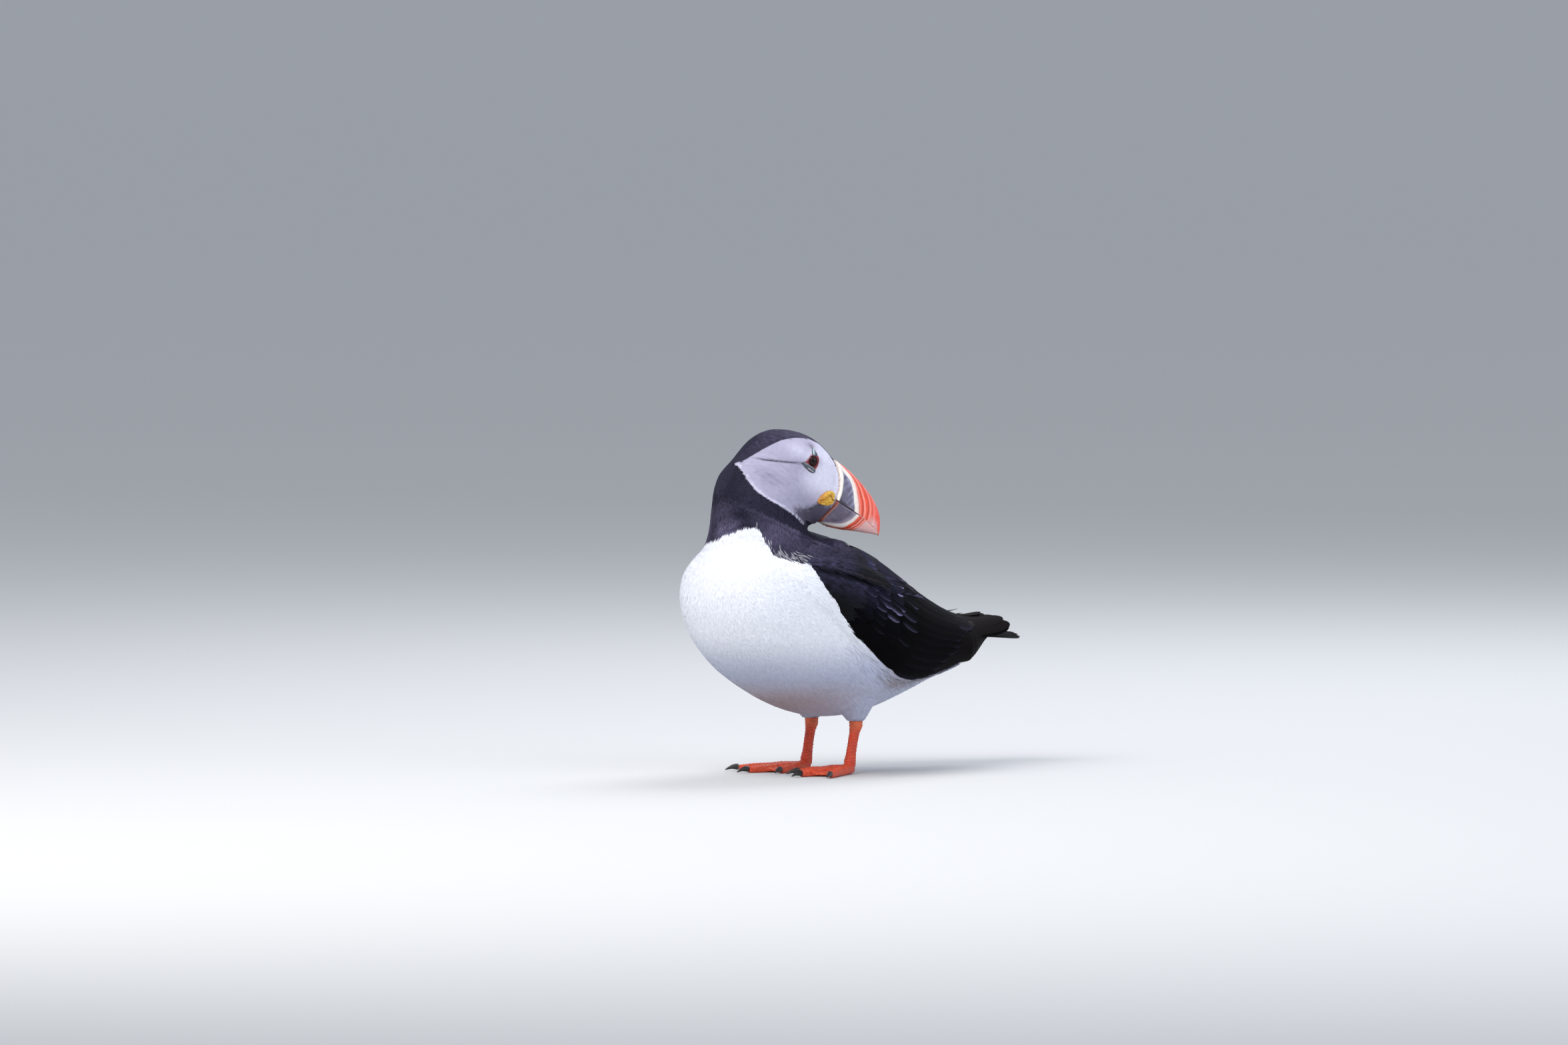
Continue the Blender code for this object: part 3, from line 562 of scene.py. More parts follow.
# Soft marks on the face: colour, strength, then u and v of the middle and the reach in each.
FACE_MARKS = (
    (SMUDGE, 0.85, (-27.4, 21.3), (1.2, 0.8)),  # the dark spot over the eye
    (FACE_DARK, 0.5, (-28.4, 21.6), (2.6, 1.6)),
    (FACE_LIGHT, 0.5, (-33, 16), (7, 4)),
    (FACE_DARK, 0.25, (-30, 10), (4.5, 3)),
)
CHEEK_SHADE = (-44, -3.5)

# Lower edge of the black collar: turn round the neck in degrees, 0 in front and positive to the left, height
# above the trunk's origin. It stands higher on the left, where the neck's skin is drawn round.
COLLAR_LINE = [
    (-95, 34), (-78, 37.5), (-60, 41), (-30, 45.4), (-8, 47.1), (10, 50.3), (27, 53.1), (45, 55),
    (52, 54), (58, 48), (65, 40.8), (78, 37.1), (95, 34),
]
# Upper edge of the white flank: s, angle round the trunk.
FLANK_LINE = [
    (-64, -60), (-57, 0), (-53, 38), (-46, 64), (-38.8, 75), (-28, 84), (-18, 91), (-7, 95.5), (6.5, 99),
    (20, 103), (40, 109.5), (60, 111), (78, 102), (92, 84), (98, 78),
]
MM_PER_DEGREE = 0.78
COLLAR_NOTCH = (62, 46)  # turn and height where the collar's edge is torn

ragged_fine = Waves(3.0)
ragged_wide = Waves(9.0)
cloud = Waves(16.0)
streaks = Waves(2.6)


def neck_turn(points):
    """Angle round the neck's axis, 0 in front and positive to the left."""
    x, y, _ = (points - trunk.origin).T
    return np.arctan2(x, -(y - NECK_AXIS))


def body_black(points):
    """How far inside the black of the back, wings and collar a place is, in millimetres."""
    s, angle = round_trunk(points)
    z = points[:, 2] - trunk.origin[2]
    turn = np.degrees(neck_turn(points))
    collar = z - line_at(COLLAR_LINE, turn)
    flank = (line_at(FLANK_LINE, s) - np.abs(angle)) * MM_PER_DEGREE
    torn = spot(turn, z, COLLAR_NOTCH, (16, 9))
    return np.maximum(collar, flank) + ragged_fine.at(points) * 0.3 + ragged_wide.at(points) * torn


def head_marks(points):
    """Signed distances on the head: inside the cap, below the face, inside the nape and inside the chin."""
    u, w, v = head.local(points).T
    w = np.abs(w)
    high = v - line_at(CAP_LINE, u)
    thin = np.where(v > 6.0, line_at(CAP_HALF, u) - w, OUTSIDE)
    cap = mix(high, thin * 0.7, step(-36, -31, u))
    nape = np.maximum(-61.5 - u, np.where(u < -55, NAPE_HALF - w, OUTSIDE))
    low = np.maximum(line_at(FACE_LOW, u) - v, np.minimum((u + 13.6) * 0.7, (-15.8 - v) * 0.6))
    chin = np.minimum(line_at(CHIN_LINE, u) - v, (u + 23) * 0.8)
    return cap, low, nape, chin


def on_head(points):
    u, _, v = head.local(points).T
    return (v > -23.5) & (u < 6)


def nape_shade(points):
    """Back of the head and neck are darker."""
    return (0.68 + 0.32 * step(-60, -50, head.local(points)[:, 0]))[:, None]


def body_paint(points):
    """The plumage's colour at places on the neck and trunk, with painted shade, light and sheen."""
    s, angle = round_trunk(points)
    angle = np.abs(angle)
    z = points[:, 2] - trunk.origin[2]
    white = layered(
        s.shape, WHITE,
        # painted shade, growing towards the bottom
        (BELLY_IN_SHADE, step(-3, -31, z)),
        # partly dirt, partly painted shade at the bottom of the belly
        (WARM_DIRT_AND_SHADE, 0.8 * step(-26, -46, z) * step(40, -10, s)),
        (FUZZ, 0.75 * hump(angle - 119, 7) * step(30, 44, s) * step(80, 62, s)),
    )
    fold = (angle - line_at(SCAPULAR_EDGE, s)) * MM_PER_DEGREE
    span = step(-54, -46, s) * step(10, -6, s)
    # painted sheen on the mantle and the front of the wings
    painted_sheen = mix(step(-12, -34, s), 0.8 * step(12, -12, s), step(-1, 3, fold)) * step(85, 50, angle)
    # painted light on the middle of the neck, broken up by the cloud
    collar = mix(COLLAR[None], COLLAR_SKY_LIT[None], hump(z - 52, 12) * (0.6 + 0.3 * cloud.at(points)))
    dark = layered(
        s.shape, BACK_BLACK,
        (RUMP, step(66, 90, s) * 0.8),
        (MANTLE_SHEEN, painted_sheen * (0.7 + 0.3 * streaks.at(points * (1.6, 0.5, 0.5)))),
        # painted shadow: a dark band just below the scapulars' lower edge, where they overhang the wing
        (BACK_BLACK * 0.6, 0.92 * span * step(0.2, 0.9, fold) * step(3.6, 2.2, fold)),
        # painted highlight: a thin pale brown line along the lowest scapulars' edge
        (RUMP_BROWN_AND_HIGHLIGHT, 0.45 * span * step(-40, -34, s) * hump(fold + 0.4, 0.4)),
        (collar * nape_shade(points), step(20, 42, z) * step(-4, -28, s)),
    )
    return mix(white, dark, step(-0.35, 0.35, body_black(points)))


def head_paint(points):
    """The plumage's colour at places on the head, with its painted shade and painted highlight."""
    cap, below, nape, chin = head_marks(points)
    local = head.local(points)
    u, _, v = local.T
    ragged = ragged_fine.at(points) * 0.25
    streak = streaks.at(local * (0.22, 1.0, 1.0))
    shade = spot(u, v, CHEEK_SHADE, (9, 5))
    rim = v - line_at(FACE_LOW, u)
    crease = np.abs(v - line_at(CREASE, u)) * 0.9
    dusk = step(-3.6, 2.2, chin + ragged * 2) * np.maximum(step(0.4, 1.3, rim), step(-14.5, -12.4, u))
    marks = [(colour, strength * spot(u, v, middle, reach)) for colour, strength, middle, reach in FACE_MARKS]
    face = layered(
        u.shape, FACE,
        (FACE_LIGHT, 0.9 * step(-32, -17, u) * step(-8, 6, v)),
        (FACE_DARK, np.clip(0.6 * shade + (0.05 + 0.07 * shade) * streak * step(-16, -24, u), 0, 1)),
        *marks,
        # painted shade along the crease behind the eye
        (CREASE_SHADE, hump(crease, 0.5) * step(-57, -46, u) * step(-26, -28, u)),
        # partly the face feathers' pale ends, partly painted highlight on the face's raised lower edge
        (FRINGE_AND_HIGHLIGHT, 0.85 * step(1.5, 0.5, rim) * step(-12.4, -14.5, u)),
        (CHIN, dusk),
        (CHIN * 0.5, 0.7 * hump(chin - 0.6, 0.6) * step(-20, -18, u) * step(-6, -9, u)),
    )
    hood = layered(
        u.shape, CAP,
        (COLLAR, step(-0.5, 0.5, below)),
        (CAP * 1.6, np.clip(0.4 * streak + 0.5 * step(-52, -38, u), 0, 1) * step(0.5, -0.5, below)),
    )
    inside = np.maximum.reduce((cap, below, nape)) + ragged
    tone = mix(face, hood * nape_shade(points), step(-0.3, 0.3, inside))
    return mix(tone, COLLAR, step(-1.0, 1.5, nape))


def coat_paint(points):
    """The plumage's colour at places on the bird, with its painted light and shade."""
    return np.where(on_head(points)[:, None], head_paint(points), body_paint(points))


# ---------------------------------------------------------------- lie and relief of the coat


def plane_distance(axes_local, place, way):
    way = unit(np.array(way, float))
    return (axes_local - np.array(place)) @ way


def head_share(points):
    """1 on the head, 0 on the neck, smooth between."""
    return step(-7, 5, plane_distance(head.local(points), (-35, 0, -18), (-0.12, 0, 1)))


def leg_share(points):
    """1 on the legs, 0 on the trunk."""
    return step(LEG_TOP, LEG_TOP - 10, points[:, 2] - trunk.origin[2])


def neck_share(points):
    """1 on the neck and head, 0 on the trunk."""
    return step(-9, 9, plane_distance(points - trunk.origin, (0, NECK_AXIS, 37.5), (0, -0.22, 0.975)))


def lie(points, normals):
    """The way feathers point: back from the bill, down the neck, tailwards on the trunk, down the legs."""
    way = mix(np.array(((0.0, 0.75, -0.66),)), np.array((0.0, 0.15, -1.0)), leg_share(points))
    way = mix(way, np.array((0.0, 0.05, -1.0)), neck_share(points))
    way = mix(way, head.turn((-1.0, 0.0, -0.3)), head_share(points))
    return tangent(way + normals * 1e-4, normals)


def relief(points):
    """Folds of the skin under the coat: the crease behind the eye, the brow over it and the cheek's edge."""
    u, _, v = head.local(points).T
    away = v - line_at(CREASE, u)
    span = step(-57, -47, u) * step(-25, -28, u)
    crease = -0.55 * hump(away, 0.5) + 0.30 * hump(away - 1.6, 1.1)
    cheek = 0.18 * hump(v - line_at(FACE_LOW, u) - 1.0, 1.3) * step(-63, -58, u)
    return (crease * span + cheek) * head_share(points)


def skin_depth(points):
    """How far the skin lies under the coat's outer surface."""
    cap, _, nape, _ = head_marks(points)
    u, w, v = head.local(points).T
    head_depth = mix(0.11, 0.6, step(-1.0, 2.0, np.maximum(cap, nape)))
    depth = mix(mix(0.45, 1.0, step(-1.5, 1.5, body_black(points))), head_depth, head_share(points))
    s, angle = round_trunk(points)
    lower = table_at(WING_EDGES, s)[..., 1]
    winged = step(lower + 6, lower - 2, np.abs(angle)) * step(-56, -46, s) * (1 - neck_share(points))
    depth = mix(mix(depth, 0.75, winged), 0.9, leg_share(points))
    eye_hole = step(1.04, 0.9, ring_share(u, v)) * step(4, 6, np.abs(w))
    bill_hole = step(-0.3, 0.9, u - line_at(RIDGE_REAR, np.clip(v, -14, 19.5)))
    return depth + 2.2 * eye_hole + 1.8 * bill_hole


# ---------------------------------------------------------------- materials


def set_sockets(node, **values):
    for socket, value in values.items():
        node.inputs[socket.replace("_", " ")].default_value = value
    return node


def painted(name, roughness, grain, depth, mottle=0.12, spread=0.08, detail="noise", **sockets):
    """A material coloured by the mesh's paint, broken up by noise, with a fine grain in its relief.

    grain is the size of the relief's grains and depth their height, both in millimetres. sockets are values
    of the shader that are the same all over.
    """
    look = bpy.data.materials.new(name)
    look.use_nodes = True
    nodes, links = look.node_tree.nodes, look.node_tree.links
    shader = set_sockets(nodes["Principled BSDF"], **sockets)
    paint = nodes.new("ShaderNodeAttribute")
    paint.attribute_name = "paint"
    coords = nodes.new("ShaderNodeTexCoord")
    cloudy = set_sockets(nodes.new("ShaderNodeTexNoise"), Scale=0.25 / (grain * MM), Detail=4.0)
    links.new(coords.outputs["Object"], cloudy.inputs["Vector"])

    def around(middle, reach):
        level = nodes.new("ShaderNodeMapRange")
        set_sockets(level, From_Min=0.3, From_Max=0.7, To_Min=middle - reach, To_Max=middle + reach)
        links.new(cloudy.outputs["Fac"], level.inputs["Value"])
        return level.outputs["Result"]

    tint = nodes.new("ShaderNodeVectorMath")
    tint.operation = "MULTIPLY"
    links.new(paint.outputs["Color"], tint.inputs[0])
    links.new(around(1.0, mottle), tint.inputs[1])
    links.new(tint.outputs["Vector"], shader.inputs["Base Color"])
    links.new(around(roughness, spread), shader.inputs["Roughness"])
    bump = set_sockets(nodes.new("ShaderNodeBump"), Strength=1.0, Distance=depth * MM)
    links.new(relief_height(nodes, links, coords, detail, grain), bump.inputs["Height"])
    links.new(bump.outputs["Normal"], shader.inputs["Normal"])
    return look


def relief_height(nodes, links, coords, detail, grain):
    """The height that a material's bump follows: noise, scales, or a feather's barbs."""
    if detail == "scales":
        cells = set_sockets(nodes.new("ShaderNodeTexVoronoi"), Scale=1.0 / (grain * MM))
        cells.feature = "DISTANCE_TO_EDGE"
        links.new(coords.outputs["Object"], cells.inputs["Vector"])
        edge = set_sockets(nodes.new("ShaderNodeMapRange"), From_Max=0.18)
        links.new(cells.outputs["Distance"], edge.inputs["Value"])
        return edge.outputs["Result"]
    if detail == "barbs":
        barb = nodes.new("ShaderNodeAttribute")
        barb.attribute_name = "barb"
        wave = set_sockets(nodes.new("ShaderNodeTexWave"), Scale=1.0 / (grain * 20.0), Distortion=0.8)
        wave.bands_direction = "X"
        links.new(barb.outputs["Vector"], wave.inputs["Vector"])
        return wave.outputs["Fac"]
    fine = set_sockets(nodes.new("ShaderNodeTexNoise"), Scale=1.0 / (grain * MM), Detail=3.0)
    links.new(coords.outputs["Object"], fine.inputs["Vector"])
    return fine.outputs["Fac"]


VIOLET = (0.55, 0.52, 0.85, 1.0)
PALE = (0.9, 0.92, 1.0, 1.0)
SHEEN = dict(Sheen_Weight=0.1, Sheen_Tint=PALE, Specular_IOR_Level=0.2)
DARK_SHEEN = dict(Sheen_Weight=0.05, Sheen_Tint=VIOLET, Specular_IOR_Level=0.1)
GLOSS = dict(Coat_Weight=0.25, Coat_Roughness=0.25, Subsurface_Weight=0.04)
white_look = painted("white_plumage", 0.85, 0.5, 0.02, 0.03, 0.05, **SHEEN)
face_look = painted("face_plumage", 0.8, 0.5, 0.02, 0.05, 0.05, **SHEEN)
black_look = painted("black_plumage", 0.65, 0.5, 0.02, 0.2, 0.1, **DARK_SHEEN)
vane_look = painted("black_vanes", 0.55, 0.35, 0.012, 0.2, 0.1, "barbs", Specular_IOR_Level=0.015)
tail_look = painted("tail_vanes", 0.8, 0.35, 0.012, 0.2, 0.08, "barbs", Specular_IOR_Level=0.05)
skin_look = painted("skin", 0.85, 0.8, 0.05, 0.04, Specular_IOR_Level=0.1)
horn_look = painted("bill_horn", 0.36, 0.45, 0.035, 0.09, 0.07, **GLOSS)
rosette_look = painted("rosette_skin", 0.5, 0.4, 0.06, 0.18, 0.08, Subsurface_Weight=0.08)
plate_look = painted("plate_horn", 0.42, 0.35, 0.04, 0.2, 0.08, Coat_Weight=0.2)
eye_look = painted("eye_glass", 0.08, 0.3, 0.0005, 0.2, 0.02, Specular_IOR_Level=0.2)
lid_look = painted("orbital_ring", 0.45, 0.3, 0.04, 0.15, 0.08, Coat_Weight=0.1)
leg_look = painted(
    "leg_skin", 0.46, 0.75, 0.09, 0.16, 0.08, "scales", Coat_Weight=0.15, Subsurface_Weight=0.05
)
claw_look = painted("claw_horn", 0.35, 0.4, 0.03, 0.25, 0.08, Coat_Weight=0.2)


# ---------------------------------------------------------------- tufts

TUFT_SIZES = "length width thick depth lift loose wander gloss shade tone_spread".split()


def kind(look, slot, *sizes_now):
    return dict(zip(TUFT_SIZES, sizes_now), look=look, slot=slot)


FACE_TUFTS = kind(face_look, "grey_feathers", 2.7, 0.66, 0.025, 0.15, 0.01, 0.006, 5.0, 0.08, 1.0, 0.02)
CAP_TUFTS = kind(black_look, "black_feathers", 3.0, 0.62, 0.06, 0.62, 0.02, 0.03, 6.0, 0.18, 0.85, 0.09)
COLLAR_TUFTS = kind(black_look, "black_feathers", 4.6, 0.9, 0.07, 1.05, 0.03, 0.03, 7.0, 0.12, 0.88, 0.07)
BREAST_TUFTS = kind(white_look, "white_feathers", 7.5, 1.25, 0.03, 0.5, 0.02, 0.015, 4.0, 0.06, 1.0, 0.012)
BELLY_TUFTS = kind(white_look, "white_feathers", 10.0, 1.15, 0.07, 0.8, 0.08, 0.07, 6.0, 0.12, 0.98, 0.02)
THIGH_TUFTS = kind(white_look, "white_feathers", 5.0, 0.95, 0.08, 0.9, 0.07, 0.08, 7.0, 0.14, 0.97, 0.025)
MANTLE_TUFTS = kind(black_look, "black_feathers", 6.0, 1.1, 0.07, 1.1, 0.04, 0.04, 5.0, 0.15, 0.85, 0.10)
WING_TUFTS = dict(MANTLE_TUFTS, length=6.6, width=1.05, depth=0.85, lift=0.05)
RUMP_TUFTS = dict(MANTLE_TUFTS, length=8.0, lift=0.12)
RUMP_FUZZ = kind(black_look, "black_feathers", 6.0, 0.4, 0.08, 0.3, 0.6, 0.25, 11.0, 0.2, 0.8, 0.35)
FLANK_FUZZ = kind(white_look, "white_feathers", 10.0, 0.7, 0.08, 0.6, 0.25, 0.15, 7.0, 0.2, 0.97, 0.04)

TUFT_SECTIONS = ((0.0, 0.6), (0.5, 1.0))  # share of the length, share of the width
TUFT_VERTS = 3 * len(TUFT_SECTIONS) + 1
ROOT_RISE = 1.8  # how soon a tuft comes up from its root's depth
PATCH = 0.003  # size of a tuft's patch in the OFBake map
WIDE_PATCH = 0.012


def tuft_faces():
    """Faces of one closed three-sided tuft, and which of them are on its upper side."""
    faces, upper = [(0, 2, 1)], [False]
    last = 3 * (len(TUFT_SECTIONS) - 1)
    tip = last + 3
    for i in range(0, last, 3):
        a, b = i, i + 3
        for first, second, above in ((0, 2, True), (2, 1, True), (1, 0, False)):
            faces += [(a + first, b + first, b + second), (a + first, b + second, a + second)]
            upper += [above, above]
    faces += [(last, tip, last + 2), (last + 2, tip, last + 1), (last + 1, tip, last)]
    upper += [True, True, False]
    return np.array(faces), np.array(upper)


def spread_out(values, low=0.02, high=0.98):
    """Values stretched to fill a map from side to side."""
    return low + (high - low) * (values - values.min()) / max(np.ptp(values), 1e-6)


def patch_places(across, along):
    """Places in the OFBake map for the patches of feathers, from two values that differ over the piece."""
    return stacked(spread_out(across), spread_out(along))


def repeated(faces, count, verts):
    """One feather's faces for all the feathers of a piece."""
    return (faces[None] + (np.arange(count) * verts)[:, None, None]).reshape(-1, 3)


def tufts(name, roots, normals, look, slot, unwrap, length, width, thick, depth, lift, loose, wander, gloss,
          shade, tone_spread, tint=None, trim=None, surface=outer):
    """Closed tapering tufts that lie along the coat from their roots, joined in one piece.

    Sizes are in millimetres, for each tuft or for all: depth is how far under the outer surface a root sits,
    lift how far over it a tip ends, loose the spread of that. wander is the spread of their direction in
    degrees, gloss how much their shading rounds across them, shade the darkness of their roots. trim gives a
    border and how far a tuft may cross it. tint is a colour and how much of it each tuft takes.
    """
    count = len(roots)
    place, normal = roots, normals
    length = sizes(count) * length
    width = sizes(count, 0.12) * width
    depth = sizes(count, 0.12) * depth
    lift = rng.normal(0, 1, count) * loose + lift
    way = lie(place, normal)
    turn = np.radians(rng.normal(0, 1, count) * wander)[:, None]
    way = way * np.cos(turn) + np.cross(normal, way) * np.sin(turn)
    bend = rng.normal(0, 0.1, count)[:, None]
    crossing = np.zeros(count, bool)
    if trim is not None:
        border_at, slack = trim
        near, far = border_at(place), border_at(place + way * length[:, None])
        crossing = near * far < 0
        share = near / np.where(crossing, near - far, 1.0)
        length = np.where(crossing, length * np.clip(share + slack / length, 0.3, 1.0), length)
    verts, shading, before = [], [], 0.0
    for t, breadth in TUFT_SECTIONS + ((1.0, 0.0),):
        if t > 0:
            aim = place + way * (length * (t - before))[:, None]
            place, normal = surface.nearest(aim)
            flow = lie(place, normal)
            way = tangent(way * 0.6 + flow * 0.4 + np.cross(normal, way) * bend, normal)
        before = t
        height = -depth * (1 - t) ** ROOT_RISE + lift * t**1.3 + relief(place)
        centre = place + normal * height[:, None]
        across = np.cross(normal, way)
        side = across * (width * breadth / 2)[:, None]
        if breadth > 0:
            verts += [centre - side, centre + side, centre + normal * (thick * (0.6 + 0.4 * breadth))]
            shading += [unit(normal - across * gloss), unit(normal + across * gloss), normal]
            painted_at = place
        else:
            verts.append(centre)
            shading.append(unit(normal + way * 0.15))
            painted_at = np.where(crossing[:, None], roots, mix(painted_at, place, 0.55))
    tone = coat_paint(painted_at)
    if tint is not None:
        tone = mix(tone, *tint)
    tone = tone * np.clip(1 + rng.normal(0, 1, count) * tone_spread, 0.75, 1.3)[:, None]
    ends = np.array([t for t, _ in TUFT_SECTIONS for _ in range(3)] + [1.0])
    paint = tone[:, None] * (shade + (1 - shade) * np.clip(ends * 1.7, 0, 1))[None, :, None]
    across = np.array([0.0, 1.0, 0.5] * len(TUFT_SECTIONS) + [0.5]) - 0.5
    along = ends + np.array([0.0, 0.0, 0.15] * len(TUFT_SECTIONS) + [0.0])
    spots = stacked(across, along - 0.5)[None] * PATCH
    patches = patch_places(*unwrap(roots))[:, None] + spots
    faces, upper = tuft_faces()
    make_piece(
        name, np.stack(verts, axis=1), repeated(faces, count, TUFT_VERTS), look, paint, patches,
        normals=np.stack(shading, axis=1), upper=np.tile(upper, count),
    )


def even_roots(spacing, surface=outer):
    """Roots one spacing apart all over a surface, each moved a little by chance."""
    mesh = remeshed(surface.mesh.copy(), spacing * COARSE)
    corners = points_of(mesh)[quads_of(mesh)]
    weight = rng.dirichlet((1.2,) * 4, len(corners))[..., None]
    return (corners * weight).sum(axis=1)


def unwrap_head(points):
    u, w, v = head.local(points).T
    return np.arctan2(w, v + 4), u


def unwrap_neck(points):
    return neck_turn(points), points[:, 2]


def unwrap_trunk(points):
    s, angle = round_trunk(points)
    return (angle + 360) % 360, s


def unwrap_leg(points):
    x, y, z = (points - trunk.origin).T
    return np.arctan2(np.abs(x) - 19, y - 12), z


def sizes(count, spread=0.18):
    """Factors by which single feathers differ."""
    return np.clip(rng.normal(1, spread, count), 0.5, 1.6)


BELOW_EYE = 99.0  # stands for a distance from the eye where that doesn't count


def eye_away(points):
    """Distance from the nearer eye's middle across the side of the head."""
    u, _, v = head.local(points).T
    return np.where(v > 4, np.hypot(u - EYE_PLACE[0], v - EYE_PLACE[2]), BELOW_EYE)


def ring_share(u, v):
    """Distance from the eye's middle as a share of the orbital ring's outline that way."""
    outline = closed_curve(RING_OUTLINE, 180) - (EYE_PLACE[0], EYE_PLACE[2])
    turn = np.arctan2(outline[:, 1], outline[:, 0])
    order = np.argsort(turn)
    at = np.arctan2(v - EYE_PLACE[2], u - EYE_PLACE[0])
    reach = np.interp(at, turn[order], np.hypot(*outline.T)[order], period=2 * math.pi)
    return np.hypot(u - EYE_PLACE[0], v - EYE_PLACE[2]) / reach


def bare(points):
    """Places where no feather grows: eyes, rings, orbital plates, rosettes and bill."""
    u, w, v = head.local(points).T
    side = np.abs(w) > 6
    eye = side & (ring_share(u, v) < 1.05)
    rosette = side & (np.hypot((u + 6.9) / 4.3, (v + 0.4) / 4.1) < 0.95)
    front = u > line_at(RIDGE_REAR, np.clip(v, -14, 20)) - 0.2
    return eye | rosette | (front & (v > -17))


# ---------------------------------------------------------------- bill curves used by the coat too

# Curves across the bill, seen from the side: v, u.
RIDGE_REAR = [
    (-14, -5.6), (-10, -4.6), (-6, -3.4), (-2, -2.7), (3.5, -2.9), (8, -3.8), (12, -5.4), (15.7, -7.6),
    (19.5, -10.4),
]
RIDGE_FRONT = [(0, -0.6), (5.2, -0.9), (10.2, -2.2), (15.5, -4.6), (18.6, -7.4), (20, -9.4)]
BLUE_EDGE = [(-2, 9.9), (-0.1, 9.5), (4.7, 6.9), (9.8, 4.0), (14.2, -0.4), (16.2, -4.6), (18.5, -7.6)]
BAND_EDGE = [(-3, 13.6), (3.1, 10.9), (8.2, 7.8), (13.1, 4.2), (16.6, -0.8), (18.4, -5.2), (20, -9)]
GROOVE_ONE = [(-3, 15.4), (2.6, 13.9), (9, 9.9), (15.5, 2.9), (18.3, -2.5)]
GROOVE_TWO = [(-4, 18.4), (4.2, 16.7), (9.4, 13.6), (14.5, 7.5), (17, 3)]
GROOVE_THREE = [(-5, 21.8), (1, 20.6), (6, 18.2), (11, 13.8), (14, 10)]
LOW_BASE = [(-14.5, -5.6), (-13.4, -4.9), (-10.1, -4.1), (-6.2, -2.9), (-2.3, -1.6), (0, -1.2)]
LOW_GREY = [(-14, -8), (-13.1, -3.5), (-10.6, 4.4), (-6.2, 9.6), (-2.2, 11.4)]
LOW_CREAM = [(-15, -8), (-13.9, -1.9), (-12.2, 5.4), (-7.8, 10.7), (-2.2, 13.2)]


def wing_zone(points):
    """How far inside the folded wings a place is, in degrees round the trunk, and its s and angle."""
    s, angle = round_trunk(points)
    angle = np.abs(angle)
    inside = np.minimum(table_at(WING_EDGES, s)[..., 1] - angle, (s + 50) * 2)
    return np.where(s < 90, inside, -9.0), s, angle


def fineness(border, reach):
    """Tufts grow smaller beside the border between two colours."""
    return 1 - 0.36 * step(reach * 1.6, reach * 0.6, np.abs(border))


def hood_border(points):
    """How far inside the black of the head a place is."""
    return np.maximum.reduce(head_marks(points)[:3])


def face_border(points):
    """The border of the face towards the black and towards the orbital rings."""
    u, w, v = head.local(points).T
    ring = np.where(np.abs(w) > 6, 3.5 * (1 - ring_share(u, v)), -9.0)
    return np.maximum(hood_border(points), ring)


def grow_head():
    roots = even_roots(0.5)
    roots = roots[on_head(roots) | (head_share(roots) > 0.5)]
    roots, normals = outer.nearest(roots[~bare(roots)])
    border = hood_border(roots)
    face = (border < 0) & on_head(roots)
    left = head.local(roots)[:, 1] > 0
    fine = fineness(border + 0.8, 1.3)
    size = fine * (1 - 0.4 * step(9, 4, eye_away(roots)))
    kept = rng.uniform(0, 1, len(roots)) < 0.8
    for name, chosen, options in (
        ("feathers_face_left", face & left, FACE_TUFTS),
        ("feathers_face_right", face & ~left, FACE_TUFTS),
        ("feathers_cap", ~face & kept, CAP_TUFTS),
    ):
        wide = options["width"] * (0.45 + 0.55 * fine[chosen])
        sized = dict(options, length=options["length"] * size[chosen], width=wide, trim=(face_border, 0.25))
        tufts(name, roots[chosen], normals[chosen], unwrap=unwrap_head, **sized)


def pale_streaks(options, turn, inside):
    """Some white feathers that lie over the collar's edge where the white shoulder meets it."""
    near = step(9, 2, inside) * hump(turn - 78, 15)
    pale = (rng.uniform(0, 1, len(turn)) < 0.2 * near) * 1.0
    return dict(
        options, tint=(WHITE * 0.6, 0.7 * pale), width=options["width"] * (1 - 0.45 * pale),
        length=options["length"] * (1 + 0.25 * pale), lift=options["lift"] + 0.25 * pale,
        depth=options["depth"] * (1 - 0.7 * pale),
    )


def grow_neck():
    roots = even_roots(0.76)
    chosen = (neck_share(roots) > 0.35) & (head_share(roots) <= 0.5) & ~on_head(roots)
    roots, normals = outer.nearest(roots[chosen])
    border = body_black(roots)
    fine = fineness(border, 2.5)
    for name, chosen, options, slack in (
        ("feathers_collar", border > 0, COLLAR_TUFTS, 3.2),
        ("feathers_throat", border <= 0, BREAST_TUFTS, 0.6),
    ):
        wide = options["width"] * (0.4 + 0.6 * fine[chosen])
        sized = dict(options, length=options["length"] * fine[chosen], width=wide, trim=(body_black, slack))
        if name == "feathers_collar":
            sized = pale_streaks(sized, np.degrees(neck_turn(roots[chosen])), border[chosen])
        tufts(name, roots[chosen], normals[chosen], unwrap=unwrap_neck, **sized)


BREAST_END = -18.0  # s at which the breast's close tufts give way to the belly's loose ones


